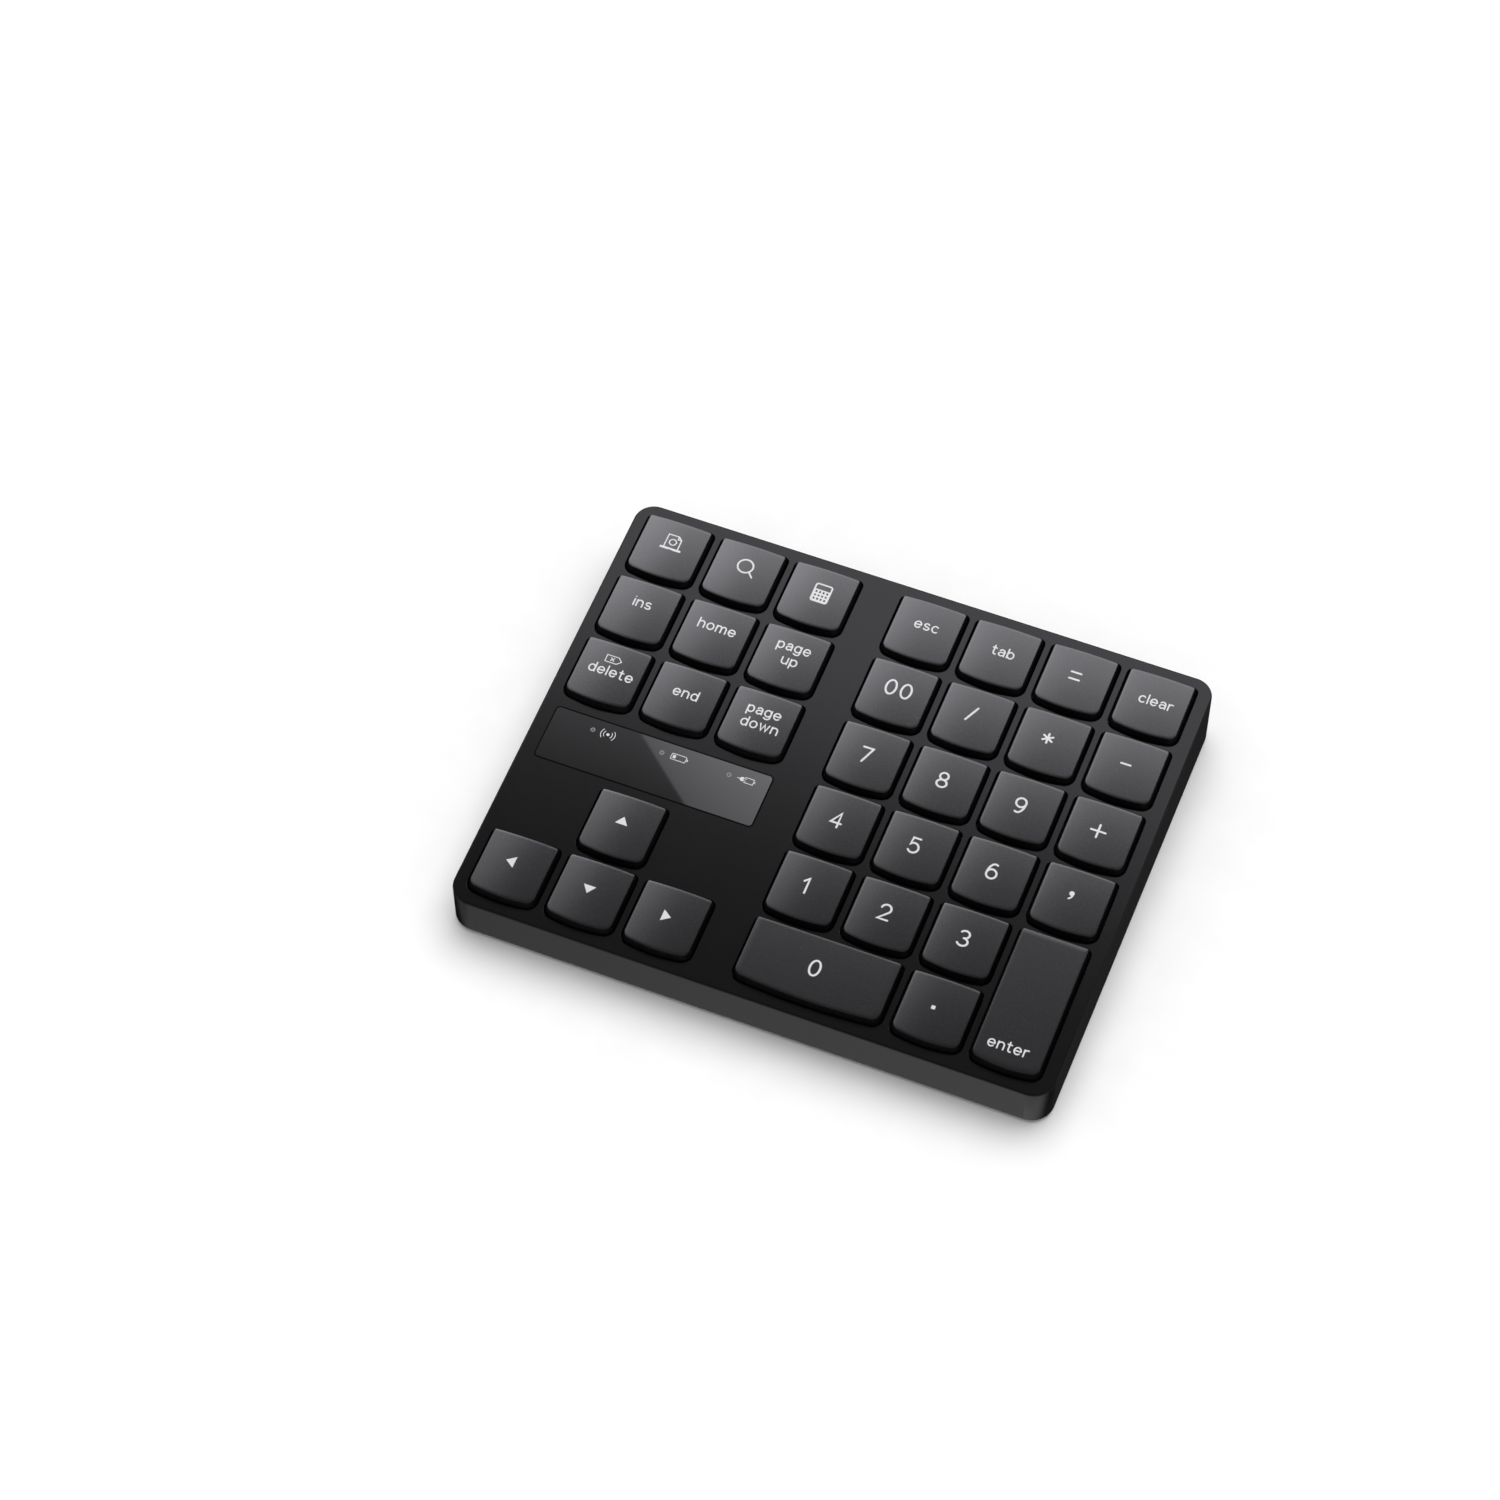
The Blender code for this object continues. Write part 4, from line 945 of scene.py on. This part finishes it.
def make_window_marks():
    leds = [middle_of(node) for node in LEDS]
    (radio_x, y), (cell_x, _y1), (charge_x, _y2) = leds
    marks = (radio_mark(radio_x + 3.8 * MM, y) + cell(cell_x + 4.4 * MM, y, 0.25)
             + charge_mark(charge_x + 4.1 * MM, y))
    rings = [face for led in leds for face in ribbon(circle(*led, 0.48 * MM, 24), 0.13 * MM, True)]
    lenses = [circle(*led, 0.3 * MM, 16) for led in leds]
    for name, faces, finish, lift, slot in (("marks", marks, PRINT_FINISH, 0.02 * MM, PRINT_SLOT),
                                            ("rings", rings, DIM_PRINT, 0.02 * MM, PRINT_SLOT),
                                            ("lenses", lenses, LED_LENS, 0.015 * MM, None)):
        place(printed("status_" + name, faces, lambda _x, _y: 0.0, finish, lift), "case", slot)


def make_socket():
    """The drawn shell with a rounded lip, the tongue in it, and the contacts on the tongue."""
    low, high = deck_box("usb_c_socket")
    y, z = (low.y + high.y) / 2, (low.z + high.z) / 2
    width, height, sheet, lip, edge = high.y - low.y, high.z - low.z, 0.3 * MM, 0.1 * MM, 0.08 * MM

    def across(x, outline):
        return [(x, y + a, z + b) for a, b in outline]

    rings = [across(x, stadium(width - 2 * shrink, height - 2 * shrink, 14)) for x, shrink in (
        (high.x, 0), (low.x + lip, 0), (low.x, edge), (low.x, sheet - edge), (low.x + lip, sheet),
        (high.x - MM, sheet))]
    place(lofted("socket_shell", rings, SHELL_STEEL), "case", "socket_shell", "usb_c_socket")
    front, rear = low.x + 0.8 * MM, high.x - 0.9 * MM
    half_y, half_z, bevel = 3.3 * MM, 0.35 * MM, 0.15 * MM
    rings = [across(x, rounded_box(half_y - shrink, half_z - shrink, 0.1 * MM, 3))
             for x, shrink in ((front, bevel), (front + bevel, 0), (rear, 0))]
    place(lofted("socket_tongue", rings, TONGUE_PLASTIC), "case", "socket_shell")
    pitch, half_contact, raised = 0.5 * MM, 0.13 * MM, 0.03 * MM
    bm = bmesh.new()
    for i in range(12):
        middle = (i - 5.5) * pitch
        for side in (-1, 1):
            contact = box_outline((middle - half_contact, middle + half_contact),
                                  (side * half_z, side * (half_z + raised)))
            skin(bm, [across(x, contact) for x in (front + 0.4 * MM, rear)], True, True)
    place(to_object("socket_contacts", bm, GOLD), "case", "socket_shell")


def make_knob():
    """The switch's knob, with ridges for a fingernail."""
    low, high = deck_box("power_switch_slider")
    half, middle = (high.y - low.y) / 2, (high.y + low.y) / 2
    valley, ridges = low.x + 0.25 * MM, 4
    outline = [(high.x, -half), (high.x, half)]
    for i in range(ridges):
        y = half - (i + 0.5) * 2 * half / ridges
        outline += [(valley, y + half / 4), (low.x, y + half / 10), (low.x, y - half / 10)]
    outline.append((valley, -half))
    knob = lofted("power_knob", [ring(moved(outline, 0, middle), z) for z in (low.z, high.z)], KNOB_PLASTIC)
    place(knob, "power_switch_slider", "switch_plastic", "power_switch_slider")


def finish_inner_parts():
    """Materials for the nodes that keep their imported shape."""
    for node, piece in frame["nodes"].items():
        for start, material in INNER_FINISHES.items():
            if node.startswith(start) and not piece.hide_render:
                for material_slot in piece.material_slots:
                    material_slot.material = material


# ---------- studio


STUDIO_COLOUR = (0.985, 0.975, 1.04)


def make_floor():
    bm = bmesh.new()
    half = 2.5
    bm.faces.new(add_ring(bm, ring(box_outline((-half, half), (-half, half)), 0)))
    material = moulded("studio_floor", 0.84, 0.86, (0.7, 0.8), 1.0 * MM, 0.002 * MM, specular=0.1)
    floor = to_object("floor", bm, material)
    floor.visible_glossy = False


def aim(made, target):
    made.rotation_euler = (Vector(target) - made.location).to_track_quat("-Z", "Y").to_euler()


def soft_light(name, location, target, size, radiance):
    """An area light of that brightness, whatever its size."""
    lamp = bpy.data.lights.new(name, "AREA")
    lamp.shape = "RECTANGLE"
    lamp.size, lamp.size_y = size
    lamp.color = STUDIO_COLOUR
    lamp.energy = radiance * math.pi * size[0] * size[1]
    made = add_object(name, lamp)
    made.location = location
    made.visible_camera = False
    aim(made, target)
    return made


def around(azimuth, elevation, distance):
    """A place around the keypad: azimuth in degrees from the rear towards the left."""
    a, e = math.radians(azimuth), math.radians(elevation)
    flat = distance * math.cos(e)
    return -flat * math.sin(a), flat * math.cos(a), distance * math.sin(e)


def only_for(light, pieces, state="INCLUDE"):
    """Lets a light reach only these pieces, or everything but them."""
    group = bpy.data.collections.new(light.name + "_receivers")
    for piece in pieces:
        group.objects.link(piece)
    light.light_linking.receiver_collection = group
    for member in group.collection_objects:
        member.light_linking.link_state = state


def mirrored_place(x, y, height):
    """Where the camera sees a plane that lies above the deck, in the deck's mirror image at x, y."""
    eye = TO_ROW.inverted() @ bpy.context.scene.camera.location
    scale = (eye.z + height) / eye.z
    return Vector((eye.x + (x - eye.x) * scale, eye.y + (y - eye.y) * scale, height)), scale


def rear_softbox(name, edge_y, radiance):
    """A wide panel whose lower edge is mirrored across the deck at that place."""
    height, depth, width = 0.62, 0.44, 1.0
    edge, _scale = mirrored_place(-20 * MM, edge_y, height)
    centre = TO_ROW @ (edge + Vector((0, depth / 2, 0)))
    panel = soft_light(name, centre, centre, (width, depth), radiance)
    panel.rotation_euler = (TILT, 0, 0)
    return panel


def window_card(name, corner, direction, sides, margin, start, fades):
    """A card over the deck that only the status window mirrors.

    Its mirror image on the deck is a rectangle that runs from the corner along the direction and to the
    left of it. Its radiance starts at the corner, and changes by one factor each way.
    """
    height = 0.5
    across = Vector((-direction.y, direction.x, 0))
    reach, breadth = sides
    middle = corner + direction * (reach / 2 - margin) + across * breadth / 2
    centre, scale = mirrored_place(middle.x, middle.y, height)
    card = soft_light(name, (0, 0, 0), (0, 0, -1), (reach * scale, breadth * scale), 1.0)
    turn = Matrix.Rotation(math.atan2(direction.y, direction.x), 4, "Z")
    card.matrix_world = TO_ROW @ Matrix.Translation(centre) @ turn
    card.data.use_nodes = True
    tree = card.data.node_tree
    split = add_node(tree, "SeparateXYZ", {"Vector": add_node(tree, "NewGeometry").outputs["Parametric"]})
    fading = [mapped(tree, split.outputs[i], 0, 1, low, low * fades[i]) for i, low in enumerate((start, 1))]
    product = add_node(tree, "Math", enumerate(fading), operation="MULTIPLY")
    tree.links.new(product.outputs["Value"], tree.nodes["Emission"].inputs["Strength"])
    only_for(card, [bpy.data.objects["status_window"]])


def make_window_cards():
    """A bright card with one edge slanting across the window's reflection, and a dim one over all of it."""
    low, high = deck_box("indicator_window")
    start = Vector((low.x + 0.386 * (high.x - low.x), high.y, 0))
    end = Vector((low.x + 0.699 * (high.x - low.x), low.y, 0))
    window_card("bright_card", start, (end - start).normalized(), (44 * MM, 30 * MM), 4 * MM, 2.0, (0.6, 2.6))
    corner = Vector((low.x - 2 * MM, high.y, 0))
    window_card("dim_card", corner, Vector((0, -1, 0)), (20 * MM, 58 * MM), 3 * MM, 0.85, (0.3, 1.0))


def make_floor_light():
    """A broad, distant light on the floor alone, from high behind the keypad."""
    lamp = bpy.data.lights.new("floor_light", "SUN")
    lamp.angle = math.radians(60)
    lamp.energy = 2.1
    made = add_object("floor_light", lamp)
    made.location = around(-10, 72, 3.0)
    aim(made, (0, 0, 0))
    only_for(made, [bpy.data.objects["floor"]])


def make_lights():
    deck_pieces = [bpy.data.objects[name] for name in ("top_shell", "status_window")]
    only_for(rear_softbox("deck_softbox", 8 * MM, 1.6), deck_pieces[:1])
    others = deck_pieces + [bpy.data.objects["floor"]]
    only_for(rear_softbox("key_softbox", 42 * MM, 3.4), others, "EXCLUDE")
    only_for(soft_light("left_softbox", around(45, 49, 2.2), (0, 0, 0), (0.8, 0.8), 1.4), others, "EXCLUDE")
    make_floor_light()
    make_window_cards()


def make_world():
    """Three skies: a pale one in view, an even one that fills the shade, and a dim one for reflections."""
    world = bpy.data.worlds.new("studio")
    world.use_nodes = True
    tree = world.node_tree
    rays = add_node(tree, "LightPath")
    sky = sky_for_reflections(tree)
    for brightness, test in ((0.6, "Is Diffuse Ray"), (0.93, "Is Camera Ray")):
        plain = add_node(tree, "Background", {"Color": tint(brightness)})
        sky = add_node(tree, "MixShader", {"Fac": rays.outputs[test], 1: sky,
                                           2: plain.outputs["Background"]}).outputs["Shader"]
    tree.links.new(sky, tree.nodes["World Output"].inputs["Surface"])
    bpy.context.scene.world = world


def sky_for_reflections(tree):
    """Dim overhead, brighter low down, and below that what a shaded floor would give."""
    def smooth(source, *ranges):
        return mapped(tree, source, *ranges, interpolation_type="SMOOTHSTEP")

    def combined(operation, first, second):
        return add_node(tree, "Math", {0: first, 1: second}, operation=operation).outputs["Value"]

    direction = add_node(tree, "TexCoord").outputs["Generated"]
    x, y, z = add_node(tree, "SeparateXYZ", {"Vector": direction}).outputs
    front = combined("MULTIPLY", smooth(y, -0.35, 0.15, 1.0, 0.05), smooth(x, -0.4, -0.05, 0.25, 0.62))
    below = combined("MAXIMUM", front, smooth(z, -0.75, -0.25, 0.0, 0.35))
    strength = add_node(tree, "Mix", {"Factor": smooth(z, -0.05, 0.25, 0.0, 1.0), "A": below,
                                      "B": smooth(z, 0.25, 0.6, 0.5, 0.12)}).outputs["Result"]
    made = add_node(tree, "Background", {"Strength": strength, "Color": (0.97, 0.97, 1.0, 1)})
    return made.outputs["Background"]


def make_camera():
    """A long lens in front of the keypad and to its right, looking down."""
    lens = bpy.data.cameras.new("camera")
    lens.sensor_width = 36.0
    lens.lens = 108.0
    made = add_object("camera", lens)
    made.location = (187.4 * MM, -561.8 * MM, 873.5 * MM)
    made.rotation_euler = [math.radians(a) for a in (35.048, -0.738, 21.48)]
    bpy.context.scene.camera = made
    bpy.context.scene.view_settings.view_transform = "Standard"


make_camera()
make_keys()
make_dome_base()
make_domes()
make_top_case()
make_tray()
make_feet()
make_screws()
make_window()
make_window_marks()
make_socket()
make_knob()
finish_inner_parts()
make_floor()
make_lights()
make_world()
